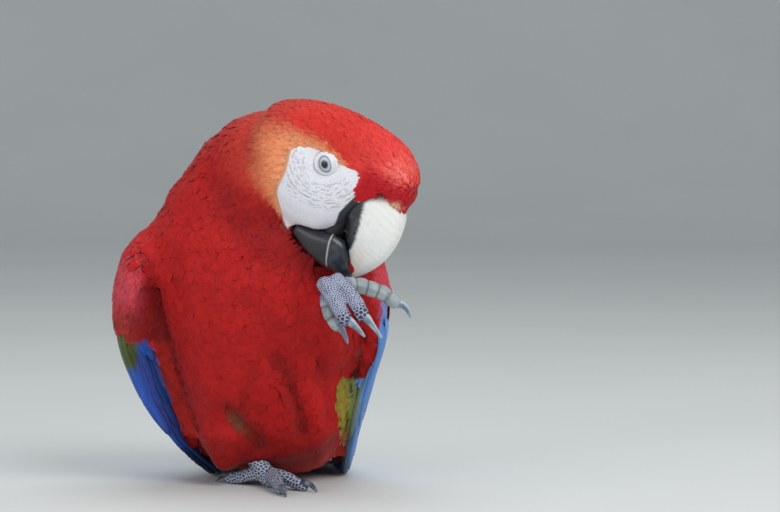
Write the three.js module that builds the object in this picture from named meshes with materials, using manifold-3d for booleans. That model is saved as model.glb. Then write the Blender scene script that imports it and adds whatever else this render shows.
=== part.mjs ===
// A scarlet macaw at life size, standing on its right foot with its left foot raised to its bill.
// Units are millimetres, +Z is up, the chest faces -Y and the tail lies back along +Y.
// The origin is the middle of the standing foot's sole, on the floor.
import * as THREE from "three";
import { mergeVertices } from "three/addons/utils/BufferGeometryUtils.js";
import Module from "manifold-3d";

const wasm = await Module();
wasm.setup();

// ---------- driving dimensions ----------
const GAP = 0.3; // clearance where two parts meet
const FLOOR = 0;
const HEAD = {
  centre: [44, -60, 243],
  turn: 78, // degrees from facing -Y towards +X
  pitch: 30, // degrees that the bill points down
  roll: 12, // degrees that the crown leans to the bird's right
};
const EYE = { radius: 8.6, ahead: 3.7, above: 1.7, depth: 18.5 }; // from the head's centre
// The bird's middle plane leans over the standing foot: its x from the chest back to the rump.
const MIDDLE = { chest: -13, rump: 3, from: 30, to: 120 };
const WING_SPLIT = 62; // y where the coverts of the arm give way to the flight feathers
const TAIL = { root: [3, 118, 34], touch: 185, end: 548, drift: 14, pairs: 6, step: 42, halfWidth: 13 };
const STANCE_TURN = 28; // degrees that the standing foot is turned towards +X
const TOE = { radius: 5.6, tip: 4.2, claw: 3.2, point: 0.8 };
const THICK_TOE = { radius: 6.5, tip: 5.3 };
const WING_CLEARANCE = 1.2; // height of the folded wings' lowest edges over the floor

// ---------- finishes ----------
const finish = (hex, roughness) => new THREE.MeshStandardMaterial({ color: hex, roughness, metalness: 0 });
const SCARLET = finish(0xa51d1c, 0.75);
const FACE_RED = finish(0xc8332c, 0.75);
const WING_RED = finish(0xb02a30, 0.7);
const WING_BLUE = finish(0x28488c, 0.6);
const TAIL_RED = finish(0x9c1f1c, 0.65);
const IVORY = finish(0xd8dada, 0.4);
const BLACK_HORN = finish(0x2b2d35, 0.45);
const TONGUE = finish(0x2a2528, 0.5);
const IRIS = finish(0xb8c0c8, 0.1);
const LEG_GREY = finish(0x6d7486, 0.7);
const CLAW_GREY = finish(0x4a5262, 0.4);

// ---------- solids ----------
const vec = (p) => new THREE.Vector3(...p);

// Turns a list of numbers, one per station, into a smooth function of 0 to 1.
function smoothly(values) {
  const curve = new THREE.CatmullRomCurve3(values.map((v) => new THREE.Vector3(v, 0, 0)), false, "catmullrom", 0.5);
  return (t) => curve.getPoint(t).x;
}

// Turns a list of points or directions, one per station, into a smooth curve of 0 to 1.
function curveOf(points) {
  return new THREE.CatmullRomCurve3(points.map(vec), false, "catmullrom", 0.5);
}

// A closed body through stations { at, wide, high, side, over, bow }: an oval at each place, wide along
// side and high along over, or across the curve where over is left out, its middle bowed up by bow.
// caps are the lengths of its domed ends. grow makes it larger all round, for cutting a neighbour
// clear of it.
function loft({ stations, sides = 16, rings = 12, caps = [2, 2], capRings = 2, square = 2 }, grow = 0) {
  const centre = curveOf(stations.map((s) => s.at));
  const side = curveOf(stations.map((s) => s.side ?? [1, 0, 0]));
  const over = stations[0].over ? curveOf(stations.map((s) => s.over)) : null;
  const wide = smoothly(stations.map((s) => s.wide));
  const high = smoothly(stations.map((s) => s.high));
  const bow = smoothly(stations.map((s) => s.bow ?? 0));
  const positions = [];
  const power = (x) => Math.sign(x) * Math.abs(x) ** (2 / square);
  const addRing = (t, out, scale) => {
    const tangent = centre.getTangent(t);
    const across = side.getPoint(t).normalize();
    const upward = over ? over.getPoint(t).normalize() : tangent.clone().cross(across).normalize();
    if (!over) across.copy(upward).cross(tangent).normalize();
    const middle = centre.getPoint(t).addScaledVector(tangent, out);
    for (let k = 0; k < sides; k++) {
      const angle = ((k + 0.5) / sides) * 2 * Math.PI;
      const w = power(Math.cos(angle)) * (wide(t) + grow) * scale;
      const arch = bow(t) * Math.sin(angle) ** 2 * scale;
      const h = power(Math.sin(angle)) * (high(t) + grow) * scale + arch;
      positions.push(...middle.clone().addScaledVector(across, w).addScaledVector(upward, h).toArray());
    }
  };
  const [capStart, capEnd] = caps.map((c) => c + grow);
  const dome = (k) => (k / capRings) * (Math.PI / 2);
  for (let k = capRings - 1; k > 0; k--) addRing(0, -capStart * Math.sin(dome(k)), Math.cos(dome(k)));
  for (let k = 0; k <= rings; k++) addRing(k / rings, 0, 1);
  for (let k = 1; k < capRings; k++) addRing(1, capEnd * Math.sin(dome(k)), Math.cos(dome(k)));
  const count = positions.length / 3 / sides;
  const first = centre.getPoint(0).addScaledVector(centre.getTangent(0), -capStart);
  const last = centre.getPoint(1).addScaledVector(centre.getTangent(1), capEnd);
  positions.push(...first.toArray(), ...last.toArray());
  const faces = [];
  const start = count * sides;
  const end = start + 1;
  for (let r = 0; r < count - 1; r++) {
    for (let k = 0; k < sides; k++) {
      const here = r * sides + k;
      const next = r * sides + ((k + 1) % sides);
      faces.push([here, next, next + sides], [here, next + sides, here + sides]);
    }
  }
  for (let k = 0; k < sides; k++) {
    const next = (k + 1) % sides;
    faces.push([start, next, k], [end, (count - 1) * sides + k, (count - 1) * sides + next]);
  }
  return asSolid(positions, faces);
}

// A manifold solid from vertices and faces, turned so that its faces point out.
function asSolid(positions, faces) {
  const p = (i) => new THREE.Vector3().fromArray(positions, i * 3);
  const volume = faces.reduce((sum, [a, b, c]) => sum + p(a).dot(p(b).cross(p(c))), 0);
  const turned = volume < 0 ? faces.map(([a, b, c]) => [a, c, b]) : faces;
  const vertProperties = new Float32Array(positions);
  const triVerts = new Uint32Array(turned.flat());
  return new wasm.Manifold(new wasm.Mesh({ numProp: 3, vertProperties, triVerts }));
}

// A manifold solid from one of three.js's closed geometries.
function fromGeometry(geometry) {
  geometry.deleteAttribute("normal");
  geometry.deleteAttribute("uv");
  const merged = mergeVertices(geometry, 1e-3);
  const index = Array.from(merged.index.array);
  const faces = index.filter((_, i) => i % 3 === 0).map((_, i) => index.slice(3 * i, 3 * i + 3));
  return asSolid(Array.from(merged.getAttribute("position").array), faces);
}

function ball(centre, radius, grow = 0) {
  return fromGeometry(new THREE.IcosahedronGeometry(radius + grow, 2).translate(...centre.toArray()));
}

// A box between two corners, for cutting.
function block(low, high) {
  const size = high.map((h, i) => h - low[i]);
  const middle = high.map((h, i) => (h + low[i]) / 2);
  return fromGeometry(new THREE.BoxGeometry(...size).translate(...middle));
}

const FAR = 900;
const underFloor = block([-FAR, -FAR, -FAR], [FAR, FAR, FLOOR]);
const underWings = block([-FAR, -FAR, -FAR], [FAR, FAR, FLOOR + WING_CLEARANCE]);

// The largest piece of a solid, so that no sliver of a cut is left.
function largest(solid) {
  return solid.decompose().sort((a, b) => b.volume() - a.volume())[0];
}

const cut = (solid, ...others) => largest(others.reduce((left, other) => left.subtract(other), solid));

// ---------- the head's own frame: forward, up and to the bird's right ----------
const radians = THREE.MathUtils.degToRad;
const level = new THREE.Vector3(Math.sin(radians(HEAD.turn)), -Math.cos(radians(HEAD.turn)), 0);
const forward = level.clone().multiplyScalar(Math.cos(radians(HEAD.pitch)))
  .add(new THREE.Vector3(0, 0, -Math.sin(radians(HEAD.pitch))));
const upright = level.clone().multiplyScalar(Math.sin(radians(HEAD.pitch)))
  .add(new THREE.Vector3(0, 0, Math.cos(radians(HEAD.pitch))));
const square = forward.clone().cross(upright);
const crownward = upright.clone().multiplyScalar(Math.cos(radians(HEAD.roll)))
  .addScaledVector(square, Math.sin(radians(HEAD.roll)));
const rightward = forward.clone().cross(crownward);
const inHead = (a, b, s = 0) =>
  vec(HEAD.centre).addScaledVector(forward, a).addScaledVector(crownward, b).addScaledVector(rightward, s);

// A station between two points of the head's mid-plane, given as forward and up.
function between(outer, inner, wide) {
  const o = inHead(...outer), i = inHead(...inner);
  return {
    at: o.clone().add(i).multiplyScalar(0.5).toArray(),
    high: o.distanceTo(i) / 2,
    wide,
    side: rightward.toArray(),
    over: o.sub(i).normalize().toArray(),
  };
}

const headShape = {
  stations: [
    between([-46, 20], [-46, -34], 26),
    between([-30, 29], [-30, -48], 29),
    between([-12, 35.5], [-12, -56], 28),
    between([6, 38.5], [6, -58], 25.2),
    between([26, 39], [26, -51], 21.5),
    between([44, 36], [44, -16], 18.5),
    between([58, 28.5], [58, -7], 15),
    between([66, 19], [66, -4], 11),
  ],
  sides: 18, rings: 8, caps: [10, 4], square: 2.2,
};
const upperBill = {
  stations: [
    between([42, 0], [31, -30], 15),
    between([58, 1], [33, -35], 15.5),
    between([68.5, -9], [37, -44], 15),
    between([72.5, -26], [41.5, -50], 13.5),
    between([71, -44], [45.5, -55], 11),
    between([65.5, -57.5], [48.5, -60.5], 7.5),
    between([58.5, -67], [50.5, -65.5], 4.2),
    between([53, -71.5], [51, -70], 1.4),
  ],
  sides: 14, rings: 10, caps: [3, 0.8], square: 2.3,
};
const lowerBill = {
  stations: [
    between([6, -51.5], [4, -62], 12),
    between([20, -49], [16, -68], 14),
    between([32, -48.5], [30, -71.5], 14.5),
    between([40, -52.5], [41, -72], 12.5),
    between([46.5, -60], [48.5, -71], 10),
    between([50.5, -65.5], [52, -69], 7),
  ],
  sides: 12, rings: 6, caps: [3, 1.2], square: 2.5,
};
const mouthHollow = {
  stations: [
    between([22, -34], [20, -55], 7.5),
    between([32, -36], [31, -62], 8.5),
    between([41, -42], [41, -67], 7.5),
    between([50, -50], [47, -68], 4.5),
  ],
  sides: 8, rings: 4, caps: [3, 3],
};
const tongueShape = {
  stations: [
    between([26, -50], [26, -56], 5),
    between([34, -49.5], [34, -58.5], 6),
    between([40, -53], [40.5, -61.5], 5.2),
  ],
  sides: 8, rings: 4, caps: [3, 4],
};

// ---------- neck, trunk and thighs ----------
const trunkShape = {
  stations: [
    { at: [-14, -6, 208], wide: 62, high: 44 },
    { at: [-14, 0, 184], wide: 75, high: 56 },
    { at: [-12, 12, 148], wide: 73, high: 63 },
    { at: [-8, 28, 112], wide: 69, high: 65 },
    { at: [-2, 44, 70], wide: 64, high: 66 },
    { at: [3, 73, 48], wide: 54, high: 49 },
    { at: [3, 104, 41], wide: 33, high: 29 },
    { at: [3, 136, 31], wide: 18, high: 15 },
  ],
  sides: 16, rings: 10, caps: [22, 10], square: 2.25,
};
const neckShape = {
  stations: [
    { at: [-14, -4, 200], wide: 64, high: 50 },
    { at: [-7, -12, 226], wide: 48, high: 46 },
    { at: [5, -30, 238], wide: 41, high: 39 },
    { at: [22, -46, 243], wide: 33, high: 33 },
  ],
  sides: 15, rings: 6, caps: [8, 8],
};
const standingThigh = {
  stations: [
    { at: [-38, 40, 68], wide: 24, high: 32 },
    { at: [-34, 18, 44], wide: 22, high: 28 },
    { at: [-32, 8, 28], wide: 16, high: 17 },
    { at: [-31, 4, 18], wide: 9, high: 8.5 },
  ],
  sides: 12, rings: 5, caps: [8, 3],
};
const raisedThigh = {
  stations: [
    { at: [40, 24, 96], wide: 24, high: 28 },
    { at: [45, -6, 108], wide: 21, high: 25 },
    { at: [47, -28, 121], wide: 15, high: 18 },
    { at: [46.5, -42, 131], wide: 9, high: 10 },
  ],
  sides: 12, rings: 5, caps: [8, 3],
};

// ---------- wings: from the bend at the shoulder back to the tips of the primaries ----------
// A station of the folded right wing, between its lower, leading edge and the edge that lies on the
// back, bowed away from the body.
function spanOf(lower, upper, thick, bow) {
  const l = vec(lower);
  const u = vec(upper);
  return {
    at: l.clone().add(u).multiplyScalar(0.5).toArray(),
    wide: l.distanceTo(u) / 2,
    high: thick,
    side: u.sub(l).normalize().toArray(),
    bow: -bow,
  };
}
const rightWing = {
  stations: [
    spanOf([-97, -36, 138], [-86, -20, 184], 9, 5),
    spanOf([-103, -24, 104], [-76, 12, 199], 11, 14),
    spanOf([-92, 4, 64], [-48, 70, 174], 11, 19),
    spanOf([-70, 34, 28], [-26, 112, 134], 9, 17),
    spanOf([-49, 72, 9], [-10, 150, 95], 7, 13),
    spanOf([-40, 126, 8], [-2, 190, 66], 5, 9),
    spanOf([-32, 195, 9.5], [0, 232, 43], 3.6, 5),
    spanOf([-24, 270, 9.5], [0, 286, 25], 2.6, 2.5),
    spanOf([-16, 338, 8.5], [-6, 342, 14], 1.5, 0.5),
  ],
  sides: 12, rings: 16, caps: [9, 6],
};
// The x of the bird's middle plane at a distance y behind the foot.
function middleX(y) {
  return THREE.MathUtils.lerp(MIDDLE.chest, MIDDLE.rump, THREE.MathUtils.smoothstep(y, MIDDLE.from, MIDDLE.to));
}
const leftWing = {
  ...rightWing,
  stations: rightWing.stations.map(({ at: [x, y, z], side: [a, b, c], bow, ...sizes }) => ({
    at: [2 * middleX(y) - x, y, z],
    side: [-a, b, c],
    bow: -bow,
    ...sizes,
  })),
};
const behind = (y) => block([-FAR, y, -FAR], [FAR, FAR, FAR]);
const before = (y) => block([-FAR, -FAR, -FAR], [FAR, y, FAR]);

// ---------- tail: a graduated fan, the middle pair longest and on top ----------
// A tail feather of a pair, pair 0 in the middle, handed 1 or -1. Its tip comes down to the floor.
function tailFeather(pair, handed, grow = 0) {
  const [x, y, z] = TAIL.root;
  const reach = TAIL.end - pair * TAIL.step - (pair > 0 ? 12 : 0);
  const spread = handed * (3 + pair * 4.2);
  const layer = (TAIL.pairs - 1 - pair) * 0.75;
  const drift = (at) => (TAIL.drift * (at - y)) / (TAIL.end - y);
  const along = (at, height, out, wide, high) => ({
    at: [x + drift(at) + spread * out, at, height],
    wide,
    high,
  });
  return loft({
    stations: [
      along(y, z - pair * 0.8, 0.35, 7, 2),
      along((y + TAIL.touch) / 2, z / 2 + layer, 0.7, 10, 1.6),
      along(TAIL.touch, 2.4 + layer, 1, TAIL.halfWidth, 1.3),
      along((TAIL.touch + reach) / 2, 1.1 + layer * 0.8, 1.15, TAIL.halfWidth, 1.2),
      along(reach - 22, 1 + layer * 0.25, 1.1, 9.5 - pair * 0.3, 1.1),
      along(reach, 0.9, 1.05, 3.5, 1),
    ],
    sides: 4, rings: 3, caps: [2, 1.5], capRings: 1, square: 8,
  }, grow);
}
function tailFan(grow = 0) {
  const fan = [];
  for (let pair = 0; pair < TAIL.pairs; pair++) {
    fan.push(tailFeather(pair, 1, grow), tailFeather(pair, -1, grow));
  }
  return fan.reduce((joined, feather) => joined.add(feather));
}

// ---------- feet ----------
// A round digit through points, its radius going from one value to another.
function digit(points, from, to, { grow = 0, rings = 3, sides = 6 } = {}) {
  const last = points.length - 1;
  const stations = points.map((at, i) => {
    const radius = THREE.MathUtils.lerp(from, to, i / last);
    return { at, wide: radius, high: radius, side: [0.3, 0.9, 0.3] };
  });
  return loft({ stations, sides, rings, caps: [from * 0.6, to * 0.7] }, grow);
}

// A toe of the standing foot, lying on the floor in a direction, with its claw.
function standingToe(angle, length, claw) {
  const heading = radians(angle + STANCE_TURN);
  const at = (distance, height) => [Math.sin(heading) * distance, -Math.cos(heading) * distance, height];
  const start = 5;
  return {
    flesh: [at(start, 9.5), at(start + length * 0.4, 8.2), at(start + length * 0.75, 4.8), at(start + length, 4)],
    claw: [at(start + length - 1, 5.4), at(start + length + claw * 0.45, 5.8), at(start + length + claw, 1.2)],
  };
}
const toes = {
  right_2: standingToe(20, 29, 12),
  right_3: standingToe(-16, 42, 14),
  right_4: standingToe(-158, 36, 13),
  right_1: standingToe(152, 23, 11),
  left_3: {
    ...THICK_TOE,
    flesh: [[49, -78, 156], [57, -85, 148.5], [64, -87, 139.5], [68, -87, 131.5]],
    claw: [[69.5, -88, 131], [75, -89, 124.5], [81, -86, 116]],
  },
  left_2: {
    ...THICK_TOE,
    flesh: [[41, -79, 154], [46, -86, 146], [52, -88.5, 136], [56.5, -88, 128]],
    claw: [[58.5, -89, 128], [64, -89, 123], [69, -86, 117]],
  },
  left_1: {
    radius: 5, tip: TOE.tip,
    flesh: [[42, -72, 144], [42.5, -73.5, 137], [45, -75, 129.5], [50, -76, 123]],
    claw: [[50.5, -76.5, 124], [54.5, -76, 118.5], [57, -73.5, 111.5]],
  },
  left_4: {
    ...THICK_TOE,
    flesh: [[55, -68, 152], [67, -64, 151], [81, -61, 146.5], [91, -60, 139]],
    claw: [[92, -60, 138.5], [98, -59.5, 136], [101.5, -59, 129]],
  },
};
const tarsi = {
  right: [[-19, 22, 30], [-11, 13, 19], [-3, 3, 8.5], [1, -2, 6.4]],
  left: [[46.5, -42, 132], [46, -56, 139], [46, -70, 147]],
};

// ---------- assembly ----------
const bird = new THREE.Group();
function add(name, solid, material) {
  const made = solid.getMesh();
  const geometry = new THREE.BufferGeometry();
  geometry.setAttribute("position", new THREE.BufferAttribute(new Float32Array(made.vertProperties), 3));
  geometry.setIndex(new THREE.BufferAttribute(new Uint32Array(made.triVerts), 1));
  geometry.computeVertexNormals();
  const mesh = new THREE.Mesh(geometry, material);
  mesh.name = name;
  bird.add(mesh);
}

// Head: the eyes, bill and tongue are set into it.
const eyeAt = (out) => inHead(EYE.ahead, EYE.above, out);
const eyes = { left: eyeAt(-EYE.depth), right: eyeAt(EYE.depth) };
for (const [name, at] of Object.entries(eyes)) add(`eye_${name}`, ball(at, EYE.radius), IRIS);
const eyeRoom = Object.values(eyes).map((at) => ball(at, EYE.radius, GAP));
const billRoom = [loft(upperBill, GAP), loft(lowerBill, GAP)];
add("bill_upper", loft(upperBill), IVORY);
const lower = cut(loft(lowerBill), billRoom[0], loft(mouthHollow));
add("bill_lower", lower, BLACK_HORN);
add("tongue", cut(loft(tongueShape), billRoom[0], lower), TONGUE);
add("head", cut(loft(headShape), ...eyeRoom, ...billRoom, loft(tongueShape, GAP)), FACE_RED);

// Body: the neck fits between head and trunk, and both leave room for the wings and tail.
const wings = { left: leftWing, right: rightWing };
const wingRoom = Object.values(wings).map((shape) => loft(shape, GAP));
const headRoom = [loft(headShape, GAP), ...billRoom];
add("trunk", cut(loft(trunkShape), ...headRoom, ...wingRoom, tailFan(GAP)), SCARLET);
add("neck", cut(loft(neckShape), loft(trunkShape, GAP), ...headRoom, ...wingRoom), SCARLET);
add("tail", cut(tailFan(), ...wingRoom, underFloor), TAIL_RED);
for (const [side, shape] of Object.entries(wings)) {
  const whole = loft(shape);
  add(`wing_${side}_arm`, cut(whole, behind(WING_SPLIT), underWings), WING_RED);
  add(`wing_${side}_flight`, cut(whole, before(WING_SPLIT + GAP), underWings), WING_BLUE);
}

// Legs: each thigh lies against the trunk, and its tarsus comes out of it.
const thighs = { left: raisedThigh, right: standingThigh };
const tarsusOf = (side, grow = 0) => digit(tarsi[side], 6.6, 7.4, { grow, sides: 8 });
for (const [side, shape] of Object.entries(thighs)) {
  const room = [loft(trunkShape, GAP), ...wingRoom, tarsusOf(side, GAP)];
  add(`thigh_${side}`, cut(loft(shape), ...room), SCARLET);
  add(`tarsus_${side}`, cut(tarsusOf(side), loft(trunkShape, GAP), underFloor), LEG_GREY);
}

// Toes: each is cut clear of the tarsus, of its own claw, of the toes before it and of the bill.
const taken = { left: [...billRoom], right: [] };
for (const [name, { flesh, claw, radius = TOE.radius, tip = TOE.tip }] of Object.entries(toes)) {
  const side = name.split("_")[0];
  const nailRoom = digit(claw, TOE.claw, TOE.point, { grow: GAP });
  const nail = digit(claw, TOE.claw, TOE.point);
  const toe = digit(flesh, radius, tip);
  add(`toe_${name}`, cut(toe, tarsusOf(side, GAP), nailRoom, underFloor, ...taken[side]), LEG_GREY);
  add(`claw_${name}`, cut(nail, underFloor, ...taken[side]), CLAW_GREY);
  taken[side].push(digit(flesh, radius, tip, { grow: GAP }), nailRoom);
}

export default bird;
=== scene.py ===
"""A scarlet macaw as a life-size still model: skin, solid feathers, bill, eyes and feet on the CAD frame."""

import logging
import math
from collections.abc import Callable, Sequence
from dataclasses import dataclass, field
from enum import Enum

import bmesh
import bpy
import numpy as np
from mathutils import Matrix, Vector, noise
from mathutils.bvhtree import BVHTree
from mathutils.kdtree import KDTree


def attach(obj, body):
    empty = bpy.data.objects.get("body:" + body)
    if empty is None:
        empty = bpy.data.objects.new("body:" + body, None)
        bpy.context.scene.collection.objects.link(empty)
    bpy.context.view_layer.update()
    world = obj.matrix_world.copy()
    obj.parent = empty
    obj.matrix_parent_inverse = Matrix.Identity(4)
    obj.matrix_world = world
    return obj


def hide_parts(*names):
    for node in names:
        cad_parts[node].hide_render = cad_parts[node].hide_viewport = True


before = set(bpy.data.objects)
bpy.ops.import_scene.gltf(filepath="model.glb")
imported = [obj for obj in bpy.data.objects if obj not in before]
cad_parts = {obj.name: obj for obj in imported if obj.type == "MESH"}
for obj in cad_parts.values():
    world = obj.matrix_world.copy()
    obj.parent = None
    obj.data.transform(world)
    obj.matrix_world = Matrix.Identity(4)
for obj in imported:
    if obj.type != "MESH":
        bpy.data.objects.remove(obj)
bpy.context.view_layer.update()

Array = np.ndarray
MM = 0.001
BAKE_MAP = "OFBake"
PATCH = 0.003  # side of one feather's patch on the skin's unwrap
LONG_STRIP = 0.955  # where the strip of the long feathers begins on their unwrap
log = logging.getLogger("macaw")


class Side(Enum):
    """The bird's own left and right, by the sign of the way out from its middle."""

    LEFT = 1
    RIGHT = -1

    @property
    def word(self) -> str:
        """The side's name in a node or piece."""
        return self.name.lower()


# ---------- numbers into shapes ----------
def linear(red: float, green: float, blue: float) -> Array:
    """A colour of 0 to 255 as linear light."""
    c = np.array([red, green, blue]) / 255
    return np.where(c <= 0.04045, c / 12.92, ((c + 0.055) / 1.055) ** 2.4)


def unit(v: Array) -> Array:
    """Vectors of length one."""
    return v / np.maximum(np.linalg.norm(v, axis=-1, keepdims=True), 1e-12)


def laid(ways: Array, out: Array) -> Array:
    """Directions turned flat on a surface whose outward directions are given."""
    return unit(ways - (ways * out).sum(1, keepdims=True) * out)


def ease(x: Array, low: float, high: float) -> Array:
    """A smooth step from 0 at low to 1 at high, either way round."""
    t = np.clip((x - low) / (high - low), 0, 1)
    return t * t * (3 - 2 * t)


def bell(x: Array, half: float) -> Array:
    """A round-topped rise of 1 at 0 that fades out past a half-width."""
    return np.exp(-((x / half) ** 2))


def blend(a: Array, b: Array, weight: Array) -> Array:
    """Colours a going to b by a weight for each row."""
    w = np.asarray(weight)[..., None]
    return a * (1 - w) + b * w


def spline(values: Sequence, t: Array) -> Array:
    """A smooth curve through evenly spaced values.

    Args:
        values: one number or point for each station.
        t: places along the curve, 0 to 1.

    Returns:
        An array of one row for each place.
    """
    v = np.asarray(values, float)
    v = v[:, None] if v.ndim == 1 else v
    p = np.vstack([2 * v[0] - v[1], v, 2 * v[-1] - v[-2]])
    x = np.clip(np.atleast_1d(t), 0, 1) * (len(v) - 1)
    i = np.minimum(x.astype(int), len(v) - 2)
    f = (x - i)[:, None]
    a, b, c, d = p[i], p[i + 1], p[i + 2], p[i + 3]
    return 0.5 * (2 * b + (c - a) * f + (2 * a - 5 * b + 4 * c - d) * f**2 + (3 * b - a - 3 * c + d) * f**3)


def waves(points: Array, size: float, seed: float = 0.0) -> Array:
    """Smooth noise of -1 to 1 at points in mm, with features of the given size."""
    shift = Vector((seed * 7.3, seed * 3.1, seed * 5.7))
    return np.array([noise.noise(Vector(p) / size + shift) for p in points])


def mottled(points: Array, size: float, seed: float) -> Array:
    """Smooth noise of 0 to 1 at points in mm."""
    return 0.5 + 0.5 * waves(points, size, seed)


def indexed(points: Array) -> KDTree:
    """A tree that finds the nearest of some points."""
    tree = KDTree(len(points))
    for k, p in enumerate(points):
        tree.insert(p, k)
    tree.balance()
    return tree


def thinned(spots: Array, gaps: Array) -> list[int]:
    """Picks places that are no nearer together than their own gaps."""
    cell = float(gaps.max())
    taken: dict[tuple[int, int, int], list[list[float]]] = {}
    chosen = []
    for index, (spot, gap) in enumerate(zip(spots.tolist(), gaps.tolist())):
        i, j, k = (int(math.floor(v / cell)) for v in spot)
        limit = gap * gap
        if any(
            (q[0] - spot[0]) ** 2 + (q[1] - spot[1]) ** 2 + (q[2] - spot[2]) ** 2 < limit
            for di in (-1, 0, 1)
            for dj in (-1, 0, 1)
            for dk in (-1, 0, 1)
            for q in taken.get((i + di, j + dj, k + dk), ())
        ):
            continue
        taken.setdefault((i, j, k), []).append(spot)
        chosen.append(index)
    return chosen


@dataclass(frozen=True)
class HeadFrame:
    """The head's own directions in the row frame, in mm: forward, crownward and to the bird's right."""

    centre: tuple[float, float, float] = (44.0, -60.0, 243.0)
    turn: float = 78.0
    pitch: float = 30.0
    roll: float = 12.0

    def axes(self) -> Array:
        """Rows of forward, crownward and rightward."""
        turn, pitch, roll = (math.radians(v) for v in (self.turn, self.pitch, self.roll))
        level = np.array([math.sin(turn), -math.cos(turn), 0])
        up = np.array([0, 0, 1])
        ahead = level * math.cos(pitch) - up * math.sin(pitch)
        upright = level * math.sin(pitch) + up * math.cos(pitch)
        crown = upright * math.cos(roll) + np.cross(ahead, upright) * math.sin(roll)
        return np.array([ahead, crown, np.cross(ahead, crown)])

    def place(self, local: Sequence) -> Array:
        """Points given as forward, crownward and rightward, in the row frame."""
        return np.array(self.centre) + np.asarray(local, float) @ self.axes()

    def way(self, local: Sequence) -> Array:
        """Directions given in the head, in the row frame."""
        return np.asarray(local, float) @ self.axes()

    def local(self, points: Array) -> Array:
        """Points of the row frame as forward, crownward and rightward."""
        return (points - np.array(self.centre)) @ self.axes().T

    def distance(self, points: Array) -> Array:
        """How far points of the row frame are from the head's centre."""
        return np.linalg.norm(self.local(points), axis=1)


HEAD = HeadFrame()


@dataclass
class Loft:
    """A closed body through stations: an oval at each, wide along side and high across it."""

    at: Sequence
    wide: Sequence
    high: Sequence
    side: Sequence
    over: Sequence | None = None
    bow: Sequence | None = None
    square: float = 2.0
    caps: tuple[float, float] = (2.0, 2.0)

    def frames(self, t: Array) -> tuple[Array, Array, Array, Array]:
        """Centre, tangent, across and upward at places along the loft."""
        step = 1e-3
        centre = spline(self.at, t)
        tangent = unit(spline(self.at, np.clip(t + step, 0, 1)) - spline(self.at, np.clip(t - step, 0, 1)))
        across = unit(spline(self.side, t))
        if self.over is not None:
            return centre, tangent, across, unit(spline(self.over, t))
        upward = unit(np.cross(tangent, across))
        return centre, tangent, unit(np.cross(upward, tangent)), upward

    def ring(self, t: float, sides: int, grow: float = 0.0, out: float = 0.0, scale: float = 1.0) -> Array:
        """One cross-section.

        Args:
            t: place along the loft, 0 to 1.
            sides: points round the section.
            grow: how much larger it is all round.
            out: how far past the place it lies, along the loft.
            scale: its size against the section's own.

        Returns:
            The section's points.
        """
        at = np.array([t])
        centre, tangent, across, upward = (v[0] for v in self.frames(at))
        wide, high = spline(self.wide, at)[0, 0] + grow, spline(self.high, at)[0, 0] + grow
        bow = 0.0 if self.bow is None else spline(self.bow, at)[0, 0]
        angle = (np.arange(sides) + 0.5) / sides * 2 * math.pi
        c, s = np.cos(angle), np.sin(angle)
        x = np.sign(c) * np.abs(c) ** (2 / self.square) * wide * scale
        y = np.sign(s) * np.abs(s) ** (2 / self.square) * high * scale + bow * s * s * scale
        return centre + tangent * out + np.outer(x, across) + np.outer(y, upward)

    def rings(self, sides: int, count: int, caps: int = 5, grow: float = 0.0) -> list[Array]:
        """All the sections from one domed end to the other."""
        made = []
        start, end = (c + grow for c in self.caps)
        for k in range(caps - 1, 0, -1):
            bend = k / caps * math.pi / 2
            made.append(self.ring(0, sides, grow, -start * math.sin(bend), math.cos(bend)))
        made += [self.ring(k / count, sides, grow) for k in range(count + 1)]
        for k in range(1, caps):
            bend = k / caps * math.pi / 2
            made.append(self.ring(1, sides, grow, end * math.sin(bend), math.cos(bend)))
        return made


def skin_rings(rings: Sequence[Array], closed: bool = True) -> bmesh.types.BMesh:
    """A tube extruded ring by ring, in metres.

    Args:
        rings: the points of each ring in mm, all of one count.
        closed: whether each end is drawn together to a pole.

    Returns:
        A new bmesh whose faces point out.
    """
    bm = bmesh.new()
    sides = len(rings[0])
    first = bmesh.ops.create_circle(bm, segments=sides, radius=1)["verts"]
    for vert, point in zip(first, rings[0]):
        vert.co = Vector(point * MM)
    ring = list(first)
    start = list(ring)
    for points in rings[1:]:
        order = {vert: k for k, vert in enumerate(ring)}
        edges = [e for e in {e for v in ring for e in v.link_edges} if all(v in order for v in e.verts)]
        made = bmesh.ops.extrude_edge_only(bm, edges=edges)["geom"]
        fresh = [None] * sides
        for vert in (g for g in made if isinstance(g, bmesh.types.BMVert)):
            old = next(e.other_vert(vert) for e in vert.link_edges if e.other_vert(vert) in order)
            fresh[order[old]] = vert
            vert.co = Vector(points[order[old]] * MM)
        ring = fresh
    if closed:
        for end in (start, ring):
            middle = sum((v.co for v in end), Vector()) / sides
            bmesh.ops.pointmerge(bm, verts=end, merge_co=middle)
    bmesh.ops.recalc_face_normals(bm, faces=bm.faces)
    return bm


def placed(name: str, data: bpy.types.ID) -> bpy.types.Object:
    """A new object of the scene."""
    made = bpy.data.objects.new(name, data)
    bpy.context.scene.collection.objects.link(made)
    return made


def settle(name: str, bm: bmesh.types.BMesh) -> bpy.types.Object:
    """A smooth-shaded object at the origin from a bmesh."""
    mesh = bpy.data.meshes.new(name)
    bm.to_mesh(mesh)
    bm.free()
    mesh.shade_smooth()
    return placed(name, mesh)


def applied(piece: bpy.types.Object) -> bpy.types.Object:
    """The object with its modifiers made part of its mesh."""
    graph = bpy.context.evaluated_depsgraph_get()
    graph.update()
    mesh = bpy.data.meshes.new_from_object(piece.evaluated_get(graph))
    old = piece.data
    piece.modifiers.clear()
    piece.data = mesh
    mesh.name = piece.name
    bpy.data.meshes.remove(old)
    mesh.shade_smooth()
    return piece


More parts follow.
